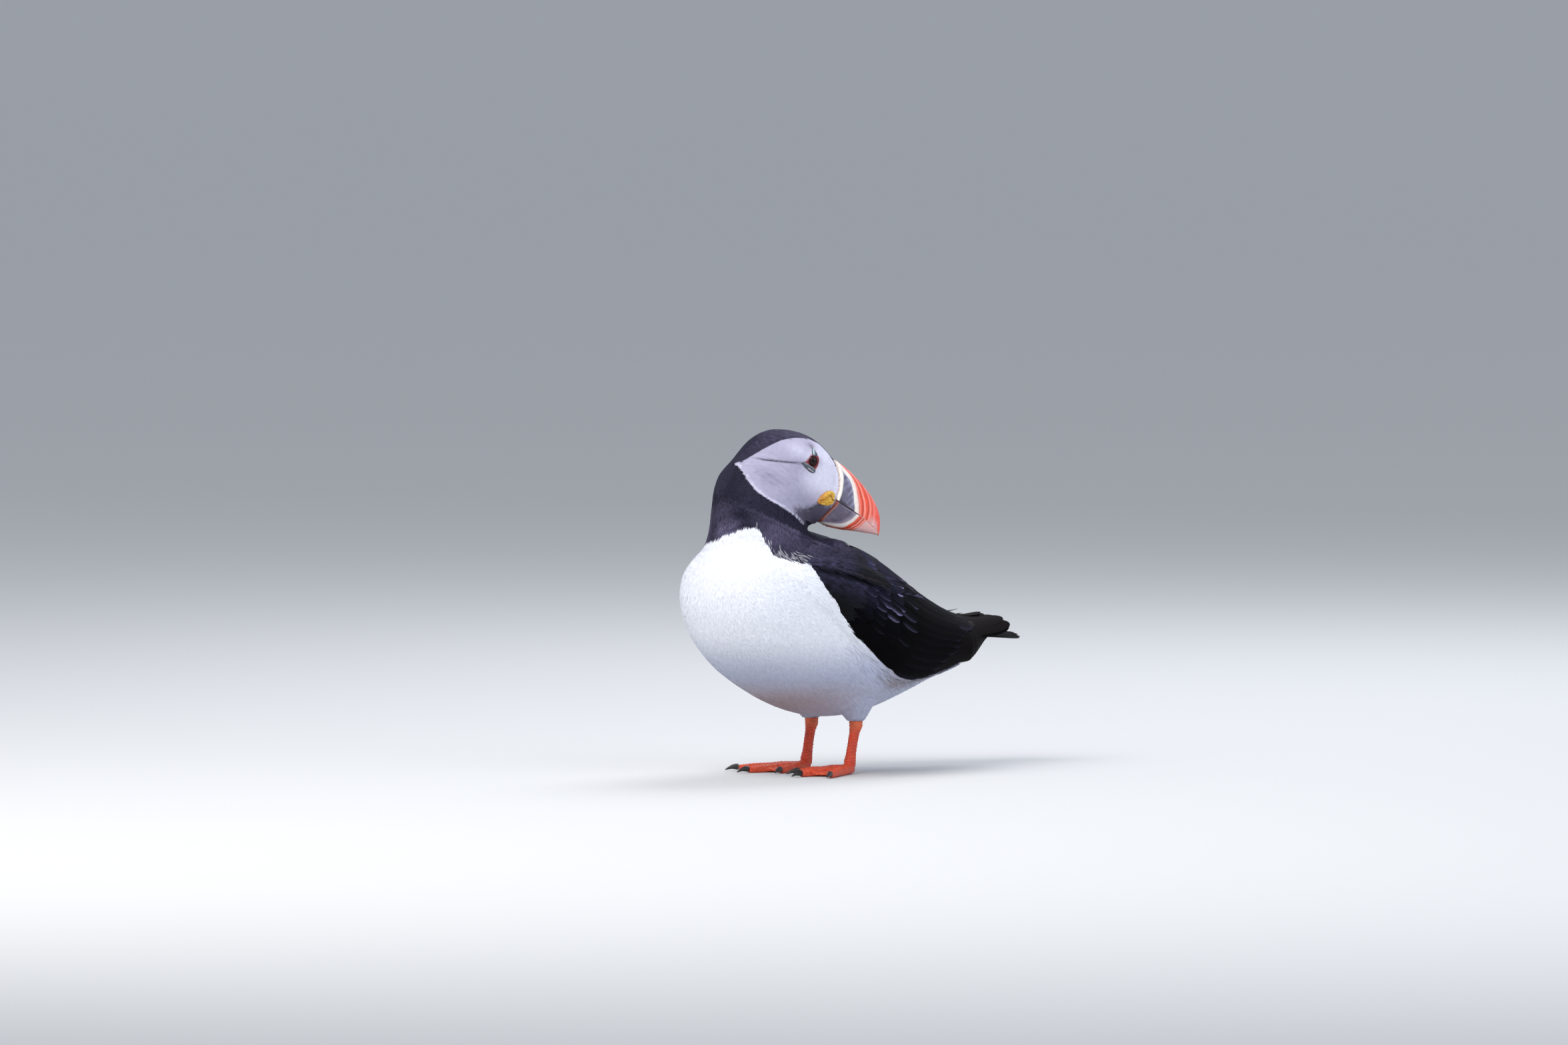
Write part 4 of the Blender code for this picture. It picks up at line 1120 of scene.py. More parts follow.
def grow_trunk():
    roots = even_roots(0.86)
    wing, s, angle = wing_zone(roots)
    mantle = (angle < line_at(SCAPULAR_EDGE, s) - 1) & (s > -75)
    behind = (roots[:, 1] > tail_low[1] + 10) | (s >= REAR_START + 3)
    above = (neck_share(roots) > 0.35) | (head_share(roots) >= 0.01)
    chosen = ((wing < 2) | mantle | (s < -7)) & ~behind & ~above
    mantle = mantle[chosen]
    roots, normals = outer.nearest(roots[chosen])
    wing, s, angle = wing_zone(roots)
    leg = roots[:, 2] - trunk.origin[2] < LEG_TOP
    inside = body_black(roots)
    black = (inside > 0) & ~leg
    left = roots[:, 0] > 0
    tucked = step(-14, -5, wing) * step(-16, -4, s) * ~mantle
    ledge = step(15, 4, line_at(SCAPULAR_EDGE, s) - angle) * step(-54, -42, s) * step(8, -8, s) * mantle
    fine = fineness(inside, 3.0)
    front = ~leg & ~black & (s < BREAST_END)
    rear = ~leg & ~black & (s >= BREAST_END)
    for name, chosen, options, unwrap in (
        ("feathers_breast_left", front & left, BREAST_TUFTS, unwrap_trunk),
        ("feathers_breast_right", front & ~left, BREAST_TUFTS, unwrap_trunk),
        ("feathers_belly_left", rear & left, BELLY_TUFTS, unwrap_trunk),
        ("feathers_belly_right", rear & ~left, BELLY_TUFTS, unwrap_trunk),
        ("feathers_thighs", leg, THIGH_TUFTS, unwrap_leg),
        ("feathers_mantle", black & mantle, MANTLE_TUFTS, unwrap_trunk),
        ("feathers_wing_front", black & ~mantle, WING_TUFTS, unwrap_trunk),
    ):
        options = dict(
            options, lift=options["lift"] - tucked[chosen], length=options["length"] * fine[chosen],
            width=options["width"] * (0.4 + 0.6 * fine[chosen]), trim=(body_black, 0.8),
        )
        if name == "feathers_mantle":
            options["length"] = options["length"] * mix(1.0, 1.7, step(-45, 10, s[chosen]))
            options["lift"] = options["lift"] + 2.0 * ledge[chosen]
            options["depth"] = options["depth"] - 1.6 * ledge[chosen]
        tufts(name, roots[chosen], normals[chosen], unwrap=unwrap, **options)


def grow_rear():
    """Coverts over the end of the body: black above the tail's root, white under it."""
    roots = even_roots(0.9, rear_body)
    s = trunk.local(roots)[:, 0]
    roots, normals = rear_body.nearest(roots[(s > REAR_START) & (roots[:, 1] < tail_low[1] + TAIL_SKIN + 5)])
    black = body_black(roots) > 0
    for name, chosen, options in (
        ("feathers_uppertail", black, dict(RUMP_TUFTS, length=7.5, depth=0.8)),
        ("feathers_undertail", ~black, dict(BELLY_TUFTS, length=9.0, depth=0.9)),
    ):
        tufts(name, roots[chosen], normals[chosen], unwrap=unwrap_trunk, surface=rear_body, **options)


def grow_fuzz():
    """Loose worn feathers: brown over the rump, brownish grey where the flank meets the wing."""
    roots = even_roots(1.25)
    wing, s, angle = wing_zone(roots)

    def some(share):
        return rng.uniform(0, 1, len(roots)) < share

    rump = (angle < 34) & (s > 60) & (s < 84) & some(0.7)
    flank = (wing < 3) & (wing > -12) & (s > 22) & (s < 76) & some(0.8)
    below = (wing < -2) & (angle < 140) & (s > -10) & (s < 82) & some(0.22)
    for name, chosen, options, colour, strength in (
        ("feathers_rump_fuzz", rump, RUMP_FUZZ, RUMP_BROWN_AND_HIGHLIGHT, 0.6),
        ("feathers_flank_fuzz", flank | below, FLANK_FUZZ, FUZZ, 0.0),
    ):
        places, normals = outer.nearest(roots[chosen])
        grey = 0.6 * (wing[chosen] > -8) * flank[chosen] * rng.uniform(0, 1, len(places))
        tint = (colour, np.clip(strength + grey, 0, 1))
        tufts(name, places, normals, unwrap=unwrap_trunk, tint=tint, **options)


# ---------------------------------------------------------------- vanes

VANE_ACROSS = np.array((-1.0, -0.8, -0.45, 0.0, 0.45, 0.8, 1.0))
VANE_THICK = 0.14
VANE_CAMBER = 0.16


def vane_outline(t, square):
    """Half width of a vane along its length: a narrow quill, then the vane, then a rounded tip."""
    opening = step(-0.05, 0.22, t) ** 0.8
    tip = np.clip((t - square) / (1 - square), 0, 1)
    return opening * np.sqrt(np.clip(1 - tip**2.2, 0, 1)) + 0.02


def vane_faces(stations):
    """Faces of one vane, and which of them are on its upper side."""
    m = len(VANE_ACROSS) + 1
    faces, upper = [], []
    for i in range(stations - 1):
        a, b = i * m, (i + 1) * m
        for j in range(m):
            k = (j + 1) % m
            faces.append((a + j, b + k, b + j))
            faces.append((a + j, a + k, b + k))
            upper += [j < m - 2] * 2
    last = (stations - 1) * m
    for j in range(1, m - 1):
        faces.append((0, j + 1, j))
        faces.append((last, last + j, last + j + 1))
        upper += [False, False]
    return np.array(faces), np.array(upper)


def vanes(name, base, normals, broad, lifts, tones, gloss, patches, look, patch, thick=VANE_THICK):
    """Closed thin vanes with a raised shaft, joined in one piece.

    base and normals have, for each vane, stations along it and points across it. lifts are heights at the
    root and the tip. tones are the plain colour and that of a painted highlight; gloss gives, for each vane,
    how strongly that highlight is painted along its lower or upper edge (by sign). patches and patch are the
    places and the size in the OFBake map.
    """
    count, stations, across = base.shape[:3]
    t = easing(stations)
    a = VANE_ACROSS
    root_lift, tip_lift = lifts
    height = root_lift[:, None] + (tip_lift - root_lift)[:, None] * t[None] ** 1.2
    body = step(0, 0.12, t) * step(1.02, 0.85, t)
    swell = VANE_CAMBER * (1 - a**2) + 0.07 * hump(a, 0.2)
    top = base + normals * (height[..., None] + swell[None, None] * body[None, :, None])[..., None]
    middle = across // 2
    under = height - thick * (0.35 + 0.65 * body)
    under = base[:, :, middle] + normals[:, :, middle] * under[..., None]
    points = np.concatenate((top, under[:, :, None]), axis=2)
    a_all = np.append(a, 0.0)
    inner, shine = tones
    # shine is the colour of the painted highlight, laid along one edge of each vane
    side_share = step(0.3, 0.85, a_all[None] * np.sign(gloss)[:, None])
    along_share = step(0.3, 0.65, t) * step(1.05, 0.95, t)
    amount = np.abs(gloss)[:, None, None] * side_share[:, None] * along_share[None, :, None]
    paint = layered((count, stations, across + 1), inner[:, None, None], (shine[:, None, None], amount))
    phase = a_all[None, None] * 14 + rng.uniform(0, 6, (count, 1, 1)) + t[None, :, None] * 3
    streak = 1 + 0.10 * np.sin(phase)
    shade = 0.6 + 0.4 * step(0.05, 0.5, t)
    paint = paint * (streak * shade[None, :, None])[..., None]
    length = np.linalg.norm(base[:, -1, middle] - base[:, 0, middle], axis=-1)
    barb = np.zeros((count, stations, across + 1, 3))
    barb[..., 0] = t[None, :, None] * length[:, None, None] - np.abs(a_all) * broad[:, None, None] * 0.55
    barb[..., 1] = rng.uniform(0, 50, count)[:, None, None]
    spots = stacked(a_all[None] * 0.5, t[:, None] - 0.5)
    spots[:, -1, 1] += 0.03
    patches = patches[:, None, None] + spots[None] * patch
    sideways = unit(base[:, :, -1] - base[:, :, 0] + 1e-6)[:, :, None]
    shading = unit(normals + sideways * (a * 0.22)[None, None, :, None])
    shading = np.concatenate((shading, shading[:, :, middle:middle + 1]), axis=2)
    faces, upper = vane_faces(stations)
    return make_piece(
        name, points, repeated(faces, count, stations * (across + 1)), look, paint, patches,
        barb, shading, np.tile(upper, count),
    )


# Painted highlight: a lavender sheen along the edges of some feathers on the back and wings.
LAVENDER_HIGHLIGHT = rgb(158, 153, 200)
# Rows of scapulars: degrees inside their edge, s of the first and the last, gap between them.
SCAPULAR_ROWS = (
    (0.5, -16, 50, 3.4), (5.5, -12, 56, 3.8), (11, -6, 60, 4.2), (17, 0, 62, 4.6), (24, 8, 62, 5.0),
)
# Rows of wing coverts: s, number, length, width, strength of the painted highlight on the edges.
COVERT_ROWS = (
    (-16, 19, 13, 4.4, 0.4), (-9, 18, 16, 4.7, 0.9), (-1, 17, 19, 5.0, 1.0), (8, 15, 22, 5.6, 0.4),
)


def lay_on_trunk(name, rows, bounds_at, stations=11, patch=PATCH, square=0.62):
    """Vanes on the back or a wing.

    Each row: s, share between the two edges, length, width, root and tip lift, strength of the painted
    highlight along the edge, sideways sweep. bounds_at gives the two edges' angles at s.
    """
    s0, share, length, width, _, _, _, sweep = np.array(rows, float).T
    t = easing(stations)
    s = s0[:, None] + length[:, None] * t
    lower, upper = bounds_at(s)
    angle = lower + (upper - lower) * (share[:, None] + sweep[:, None] * t**1.5)
    _, rise, half_width = section_at(s)
    per_degree = np.radians((rise + half_width) / 2)
    half = width[:, None] / 2 * vane_outline(t, square)[None]
    spread = angle[..., None] + (half / per_degree)[..., None] * VANE_ACROSS
    along = np.repeat(s[..., None], len(VANE_ACROSS), axis=2)
    base = trunk_map.place(along, spread)
    normals = trunk_map.normal(along, spread)
    kept = neck_share(base.reshape(-1, 3)).reshape(len(rows), -1).max(axis=1) < 0.15
    s0, _, length, width, root_lift, tip_lift, gloss, _ = np.array(rows, float)[kept].T
    start = angle[kept, 0]
    # painted sheen on the vanes towards the front
    painted_sheen = 0.4 * step(10, -26, s0) * step(85, 50, np.abs(start))
    inner = mix(BACK_BLACK[None], MANTLE_SHEEN[None], painted_sheen)
    inner = inner * np.clip(rng.normal(1, 0.1, len(s0)), 0.5, 1.6)[:, None]
    inner = mix(inner, RUMP * 0.8, step(60, 100, s0 + length) * 0.5)
    shine = LAVENDER_HIGHLIGHT[None] * rng.uniform(0.7, 1.15, (len(s0), 1))
    vanes(
        name, base[kept], normals[kept], width, (root_lift, tip_lift), (inner, shine), gloss,
        patch_places(start, s0), vane_look, patch,
    )


def mantle_edges(s):
    edge = line_at(SCAPULAR_EDGE, s)
    return -edge, edge


def wing_edges(side):
    def edges(s):
        upper, lower = np.moveaxis(table_at(WING_EDGES, np.minimum(s, WING_BEND)), -1, 0)
        return side * upper, side * lower

    return edges


def scapular_rows():
    """Long round-tipped scapulars in overlapping rows; the outer ones cover the top of the wing."""
    rows = []
    for side in (1, -1):
        for number, (inset, first, last, gap) in enumerate(SCAPULAR_ROWS):
            s = first
            while s < last:
                edge = float(line_at(SCAPULAR_EDGE, s + 8))
                share = 0.5 + side * (edge - inset + rng.normal(0, 0.8)) / (2 * edge)
                grown = float(step(-44, 0, s))
                # where the scapulars' edges get a painted highlight
                highlight_strength = hump(s - 6, 18) * (0.5 if number == 0 else 1.0)
                gloss = side * 0.9 * highlight_strength * rng.uniform(0.0, 1.1) ** 3.0
                long = (14 + 7 * grown) * rng.uniform(0.88, 1.12)
                broad = (3.3 + 1.5 * grown) * rng.uniform(0.9, 1.1)
                level = 0.9 - 0.08 * number
                rows.append((s + rng.normal(0, 1.0), share, long, broad, -0.6, level, gloss, side * 0.012))
                s += gap
    return rows


def covert_rows(side):
    """Coverts of a folded wing, in staggered rows that lengthen towards the tail."""
    rows = []
    for s, count, long, broad, highlight_strength in COVERT_ROWS:
        for i in range(count):
            share = 0.955 * (i + 0.35 + 0.3 * (count % 2)) / count + rng.normal(0, 0.006)
            place = s + 2.5 * math.sin(math.pi * share) + rng.normal(0, 1.0)
            # painted highlight along the edges of the middle coverts
            shine = highlight_strength * hump(share - 0.42, 0.2) * rng.uniform(0.0, 1.15) ** 1.9
            edge = float(step(0.75, 0.9, share))
            low, high = -0.45 + 0.35 * edge, 0.2 + 0.15 * edge
            rows.append((place, share, long * rng.uniform(0.9, 1.1), broad, low, high, side * shine, 0.0))
    return rows


def quill_rows(side):
    """Primaries, secondaries and tertials. Those nearer the wing's upper edge lie over the others."""
    rows = []
    # The last number of each row is the strength of the painted highlight along one edge.
    for i in range(15):
        share, tip = 0.95 - 0.064 * i, 110.5 - 0.8 * i
        rows.append((30.0 - 1.2 * i, share, tip, 8.4, -0.2 - 0.03 * i, 0.1 + 0.05 * i, -0.05))
    for i in range(11):
        tip = 80.0 - 2.6 * abs(i - 7) + rng.normal(0, 1.2)
        rows.append((14.0, 0.91 - 0.072 * i, tip, 8.8, -0.45 + 0.02 * i, 0.4 + 0.05 * i, 0.03))
    for i in range(4):
        rows.append((22.0 + 3 * i, 0.34 - 0.075 * i, 84.0 + 3.5 * i, 9.0, -0.3, 1.0 + 0.1 * i, 0.05))
    return [
        (start, share, tip - start, broad, low, high, side * gloss, 0.0)
        for start, share, tip, broad, low, high, gloss in rows
    ]


def wing_tips(side):
    """The loose ends of the last tertials and primaries, which stand off the rump over the tail's root."""
    count, stations = 10, 15
    f = np.linspace(0, 1, count)
    start_s, start_angle = 50 + 12 * f, side * (64 - 50 * f)
    root = trunk_map.place(start_s, start_angle)
    away = unit(trunk_map.place(start_s + 4, start_angle) - root)
    up = trunk_map.normal(start_s, start_angle)
    ragged = rng.normal(0, 1, (count, 3)) * (0.5, 1.6, 0.6)
    tip = stacked(side * (15.0 - 8 * f), 99 - 9 * f - 7 * f**3, 75.0 + 8 * f**0.8) + ragged
    end_way = unit(stacked(-side * 0.10, 0.97, 0.02 + 0.16 * f))
    end_up = unit(stacked(side * (0.95 - 0.8 * f), -0.1, 0.35 + 0.65 * f))
    shares = easing(stations)
    t = shares[None, :, None]
    reach = np.linalg.norm(tip - root, axis=-1)[:, None, None]
    middle = hermite(root[:, None], tip[:, None], away[:, None] * reach, end_way[:, None] * reach, t)
    along = unit(np.gradient(middle, axis=1))
    normals = tangent(mix(up[:, None], end_up[:, None], t), along)
    broad = 7.6 - 1.4 * f
    half = (broad[:, None] / 2 * vane_outline(shares, 0.8)[None])[..., None, None]
    base = middle[:, :, None] + np.cross(along, normals)[:, :, None] * half * VANE_ACROSS[:, None]
    normals = np.repeat(normals[:, :, None], len(VANE_ACROSS), axis=2)
    inner = mix(BACK_BLACK[None], RUMP[None], rng.uniform(0, 0.8, count))
    # Painted highlight: a lighter tone along one edge of each tip.
    vanes(
        "wing_tips_" + ("left" if side > 0 else "right"), base, normals, broad, (-0.8 + 0 * f, 0.1 * f),
        (inner, inner * 1.5), -side * 0.4 + 0 * f, patch_places(start_angle, start_s), tail_look,
        WIDE_PATCH, 0.3,
    )


def tail_feathers():
    """Rectrices in a shallow fan, the middle pair on top, with short coverts above and below the root."""
    half_width = (tail_high[0] - tail_low[0]) / 2
    start = tail_low[1] + 2.0
    length = tail_high[1] - start
    rows = []
    for i in range(16):
        across = (i - 7.5) / 7.5
        long = length * (1 - 0.10 * abs(across) ** 2.5 - rng.uniform(0, 0.05))
        rows.append((across, long, 6.6, 1.3 - 1.2 * abs(across), 0.0))
    for i in range(11):
        across = (i - 5) / 5
        rows.append((across * 0.95, length * (0.56 - 0.1 * abs(across)), 6.2, 2.4 - 1.3 * abs(across), -4.0))
    below = len(rows)
    for i in range(9):
        rows.append(((i - 4) / 4 * 0.8, length * 0.42, 6.0, -1.4, -2.5))
    across, long, broad, level, back = np.array(rows).T
    t = easing(15)
    half = broad[:, None] / 2 * vane_outline(t, 0.8)[None]
    x = (across * (half_width - 2.6))[:, None] * (0.42 + 0.58 * t)
    y = (start + back)[:, None] + long[:, None] * t
    x = x[..., None] + half[..., None] * VANE_ACROSS
    y = np.repeat(y[..., None], len(VANE_ACROSS), axis=2)
    middle_z = (tail_high[2] + tail_low[2]) / 2 + 0.6
    droop = -0.034 * (y - start) + 1.6
    z = middle_z + droop - 0.15 * x**2 / half_width
    normals = unit(stacked(0.30 * x / half_width, 0.04, 1.0))
    inner = BACK_BLACK[None] * rng.uniform(0.8, 1.2, (len(rows), 1))
    # The white undertail coverts take the belly's painted shade, darker still, as shade under the tail.
    inner[below:] = BELLY_IN_SHADE * 0.9
    # Painted highlight: a lighter tone along one edge of each feather.
    piece = vanes(
        "tail_feathers", stacked(x, y, z), normals, broad, (level - 0.5, level * 0.55),
        (inner, inner * 1.25), np.sign(across) * 0.5,
        patch_places(across + 0.07 * back, level + 0.3 * across), tail_look, WIDE_PATCH, 0.35,
    )
    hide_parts("tail")


# ---------------------------------------------------------------- skin


def make_skin():
    """One skin under the coat for all the flesh, coloured like the plumage over it."""
    surface = make_surface(SKIN_NODES + EYES + BILLS + ("tail",), stumps, 16)
    points = surface.points + surface.normals * (relief(surface.points) - skin_depth(surface.points))[:, None]
    paint = coat_paint(surface.points)
    # Painted shade: under dark plumage the skin that shows between the tufts is darker still.
    paint = paint * mix(0.7, 1.0, step(0.02, 0.3, paint[:, 1]))[:, None]
    piece = make_piece("skin", points, surface.faces, skin_look, paint)
    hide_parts(*SKIN_NODES)


# ---------------------------------------------------------------- bill

BILL_ROWS = [
    (-14.0, 19.0, -4.0, 1.0, -7.0, -13.4, 7.0, 2.0),
    (-11.5, 19.9, -1.5, 0.6, -4.2, -13.9, 9.2, 3.4),
    (-9.5, 19.9, 1.5, 0.0, -2.2, -14.2, 9.4, 3.4),
    (-6.0, 19.4, 7.5, -0.7, 3.0, -13.8, 8.0, 3.0),
    (-1.0, 18.1, 13.0, -1.5, 9.0, -12.2, 6.8, 2.8),
    (6.0, 15.7, 17.5, -2.3, 14.5, -10.6, 5.8, 2.6),
    (13.0, 12.3, 21.0, -3.2, 19.0, -9.3, 4.8, 2.2),
    (19.0, 8.5, 24.0, -4.2, 22.6, -8.3, 3.7, 1.6),
    (23.8, 3.8, 26.2, -5.1, 25.4, -7.5, 2.6, 0.9),
    (26.8, -1.7, 27.7, -5.9, 27.0, -7.0, 1.6, 0.3),
]
GAPE_LINE = [(row[2], row[3]) for row in BILL_ROWS]
UPPER_TIP = (28.3, -6.6)
LOWER_TIP = (27.5, -6.7)
UPPER_SIDE = [(0, 1.0), (0.25, 0.93), (0.5, 0.80), (0.75, 0.60), (0.9, 0.42), (1.0, 0.30)]
LOWER_SIDE = [(0, 0.97), (0.25, 0.90), (0.5, 0.80), (0.75, 0.66), (0.9, 0.50), (1.0, 0.36)]
ROUNDING = 0.12  # share of the side over which culmen and keel turn round
BILL_SHIFT = 0.06  # half the gap between the mandibles

CREAM = rgb(236, 228, 220)
# Painted shade on the rear edge of the cream ridge at the bill's base.
CREAM_SHADE = rgb(198, 176, 164)
PINK_CREAM = rgb(246, 188, 176)
BLUE_GREY = rgb(96, 92, 116)
BLUE_LIGHT = rgb(142, 144, 172)
BLUE_DARK = rgb(60, 54, 72)
ORANGE = rgb(236, 78, 46)
ORANGE_BROWN = rgb(196, 78, 34)
RED_LINE = rgb(140, 34, 34)
CORAL = rgb(246, 96, 82)
ORANGE_PALE = rgb(246, 158, 142)
TIP_PINK = rgb(226, 178, 176)
LOW_VIOLET = rgb(88, 80, 102)
LOW_PALE = rgb(160, 146, 164)
BASE_BROWN = rgb(140, 66, 58)
GAPE_DARK = rgb(40, 34, 46)
DOT_BROWN = rgb(176, 122, 104)
BASE_PALE = rgb(186, 126, 104)


def bill_grid(upper):
    """Rows from the base to the tip; in each, points round one mandible from its right gape to its left."""
    numbered = [(i,) + row for i, row in enumerate(BILL_ROWS)]
    last = len(BILL_ROWS) - 1
    rounded = last + np.sin(np.linspace(0, math.pi / 2, 9))[1:] * 0.995
    rows = np.concatenate((np.linspace(0, last, 200), rounded))
    columns = table_at(numbered, np.minimum(rows, last)).T
    culmen_u, culmen_v, gape_u, gape_v, keel_u, keel_v, half, bow = columns
    edge_u, edge_v = (culmen_u, culmen_v) if upper else (keel_u, keel_v)
    share = np.concatenate((
        np.linspace(0, 0.16, 22), np.linspace(0.16, 0.86, 52)[1:],
        1 - 0.14 * (1 - np.linspace(0, 1, 16)[1:]) ** 1.6,
    ))
    wide = line_at(UPPER_SIDE if upper else LOWER_SIDE, share)
    wide = wide * np.sqrt(np.clip(1 - np.clip((share - 1 + ROUNDING) / ROUNDING, 0, 1) ** 2, 0, 1))
    lift = BILL_SHIFT if upper else -BILL_SHIFT
    forward = bow[:, None] * (4 * share * (1 - share))[None] * (1.0 if upper else 0.55)
    u = gape_u[:, None] + (edge_u - gape_u)[:, None] * share + forward
    v = gape_v[:, None] + lift + (edge_v - gape_v - lift)[:, None] * share
    w = half[:, None] * wide[None]
    half_ring = stacked(u, w, v)
    ring = np.concatenate((half_ring * (1, -1, 1), half_ring[:, -2::-1]), axis=1)
    shrink = np.sqrt(np.clip(1 - np.clip(rows - last, 0, 1) ** 2, 0, 1))
    tip_u, tip_v = UPPER_TIP if upper else LOWER_TIP
    tip = np.array((tip_u, 0.0, tip_v))
    middle = ring[-1].mean(axis=0)
    for i, number in enumerate(rows):
        if number > last:
            centre = middle + (tip - middle) * (number - last)
            ring[i] = centre + (ring[i] - middle) * shrink[i]
    return ring


def along_curve(places, line):
    """Distance in front of a curve across the bill."""
    return (places[..., 0] - line_at(line, places[..., 2])) * 0.85


def upper_bill_look(places):
    """Colours and relief of the upper mandible."""
    wide = Waves(6.0).at(places * (0.6, 1, 1))
    fine = Waves(1.3).at(places * (1, 0.4, 0.22))
    rear, front, blue, band, one, two, three = (along_curve(places, line) for line in (
        RIDGE_REAR, RIDGE_FRONT, BLUE_EDGE, BAND_EDGE, GROOVE_ONE, GROOVE_TWO, GROOVE_THREE,
    ))
    u, v = places[..., 0], places[..., 2]
    above_gape = v - line_at(GAPE_LINE, u)
    dots = np.clip(Waves(0.9).at(places) - 0.3, 0, 1) * hump(rear - 0.5, 0.25)
    sheen = 0.55 * step(7, 15, v) + 0.22 * fine + 0.6 * step(-1.8, -0.2, blue) * step(1, 4, above_gape)
    wedge = 0.35 + 1.75 * step(14, 0, u)
    grey = layered(
        u.shape, BLUE_GREY,
        (BLUE_LIGHT, np.clip(sheen, 0, 1)),
        (BLUE_DARK, 0.8 * step(2.6, 0.0, front) * step(10, 3, v)),
        (GAPE_DARK, 0.92 * step(wedge, wedge * 0.6, above_gape)),
        (LOW_PALE, 0.9 * hump(above_gape - 0.95, 0.13) * step(3.5, 5, u) * step(11, 9.5, u)),
    )
    coral = step(0.5, 3.5, two) * (0.6 + 0.3 * wide) + 0.7 * step(13, 18, v + 0.7 * u - 4)
    tip = step(5.5, 0.8, above_gape) * step(0.2, 2.5, two) * step(27.5, 25, u + 0.6 * above_gape)
    beyond = layered(
        u.shape, ORANGE,
        (CORAL, np.clip(coral, 0, 1)),
        (ORANGE_BROWN, 0.6 * step(3.5, 0.3, above_gape) * hump(one + 1.0, 1.0)),
        (ORANGE_PALE, 0.8 * hump(band - 0.55, 0.3)),
        (ORANGE_PALE, 0.75 * hump(one - 0.75, 0.55)),
        (ORANGE_PALE, 0.55 * hump(two - 0.8, 0.6) + 0.35 * hump(two - 3.0, 0.8)),
        (TIP_PINK, 0.9 * tip),
        (RED_LINE, 0.75 * hump(band - 0.12, 0.16)),
        (RED_LINE, 0.8 * hump(one, 0.26) + 0.7 * hump(two, 0.26) + 0.25 * hump(three, 0.3)),
    )
    tone = layered(
        u.shape, CREAM,
        # painted shade along the ridge's rear edge
        (CREAM_SHADE, 0.8 * step(1.0, 0.0, rear)),
        (DOT_BROWN, np.clip(1.1 * dots, 0, 1)),
        (grey, step(-0.3, 0.3, front) * step(18.6, 16.4, v)),
        (CREAM * 1.03, step(-0.35, 0.3, blue)),
        (PINK_CREAM, 0.9 * step(-1.5, -0.1, band)),
        (beyond, step(-0.12, 0.18, band)),
    )
    height = 0.5 * step(-0.6, 0.5, rear) * step(0.5, -0.5, front)
    height = height + 0.14 * step(-0.6, 0.4, blue) * step(0.3, -0.6, band)
    for distance, depth in ((one, 0.26), (two, 0.26), (three, 0.12)):
        height = height - depth * hump(distance, 0.4) + 0.07 * hump(distance - 1.2, 0.7)
    fade = step(0.0, 2.5, np.abs(places[..., 1]))
    return tone, height * (0.25 + 0.75 * fade)


def lower_bill_look(places):
    """Colours and relief of the lower mandible."""
    fine = Waves(2.6).at(places * (0.4, 1, 1))
    base, grey, cream = (along_curve(places, line) for line in (LOW_BASE, LOW_GREY, LOW_CREAM))
    u, v = places[..., 0], places[..., 2]
    under_gape = line_at(GAPE_LINE, u) - v
    pale = 0.06 * fine + 0.75 * step(-3.2, -0.2, grey) + 0.35 * step(-8, -12, v)
    beyond = layered(
        u.shape, ORANGE * 0.92,
        (ORANGE_BROWN, 0.5 * step(-8, -11, v)),
        (RED_LINE, 0.6 * hump(cream - 1.6, 0.3) + 0.7 * hump(cream - 2.9, 0.25)),
        (ORANGE_PALE * 1.1, 0.9 * hump(cream - 2.15, 0.28)),
        (ORANGE_PALE, 0.9 * hump(cream - 3.5, 0.35)),
        (TIP_PINK, step(3.6, 4.6, cream)),
        (ORANGE_PALE, 0.35 * np.clip(fine, 0, 1) * step(4, 6, cream)),
    )
    tone = layered(
        u.shape, LOW_VIOLET,
        (LOW_PALE, np.clip(pale, 0, 1)),
        (LOW_PALE * 1.15, 0.8 * hump(under_gape - 0.75, 0.14) * step(1, 3, u) * step(14, 11, u)),
        (BASE_BROWN, step(-1.2, -0.8, base) * step(1.1, 0.7, base)),
        (BASE_PALE, 0.8 * hump(base - 0.75, 0.22) + 0.7 * hump(base + 0.35, 0.2)),
        (CREAM, step(-0.5, 0.5, grey)),
        (PINK_CREAM, 0.6 * step(-0.9, 0, cream)),
        (beyond, step(-0.25, 0.3, cream)),
    )
    height = 0.25 * hump(base, 0.8) + 0.12 * step(-0.6, 0.4, grey) * step(0.3, -0.6, cream)
    return tone, height - 0.2 * hump(cream - 1.6, 0.35) - 0.2 * hump(cream - 2.9, 0.35)


def make_mandible(name, node, upper):
    ring = bill_grid(upper)
    rows, count = ring.shape[:2]
    down = np.roll(ring, -1, axis=1) - np.roll(ring, 1, axis=1)
    normals = unit(np.cross(down, np.gradient(ring, axis=0))) * (1 if upper else -1)
    outward = unit(ring * (0, 1, 0) + 1e-9)
    flip = np.sum(normals * outward, axis=-1, keepdims=True) < -0.05
    normals = np.where(flip, -normals, normals)
    tone, height = upper_bill_look(ring) if upper else lower_bill_look(ring)
    from_gape = np.minimum(np.arange(count), count - 1 - np.arange(count))
    # Painted shade between the mandibles: dark along the gape's edges, pink cream near the tip instead.
    edge = step(2.4, 0.4, from_gape) * step(-2.5, -1, ring[..., 0]) * step(27.5, 25.5, ring[..., 0])
    near_tip = step(11.5, 13.5, ring[..., 0])
    tone = layered(
        (rows, count), tone, (GAPE_DARK, 0.85 * edge * (1 - near_tip)), (PINK_CREAM, 0.6 * edge * near_tip)
    )
    fall = step(rows - 1, rows - 12, np.arange(rows))[:, None]
    points = head.world(ring + normals * (height * fall)[..., None])
    faces = tube_faces(rows, count, upper, 0 if upper else 1)
    piece = make_piece(name, points, faces, horn_look, tone)
    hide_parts(node)


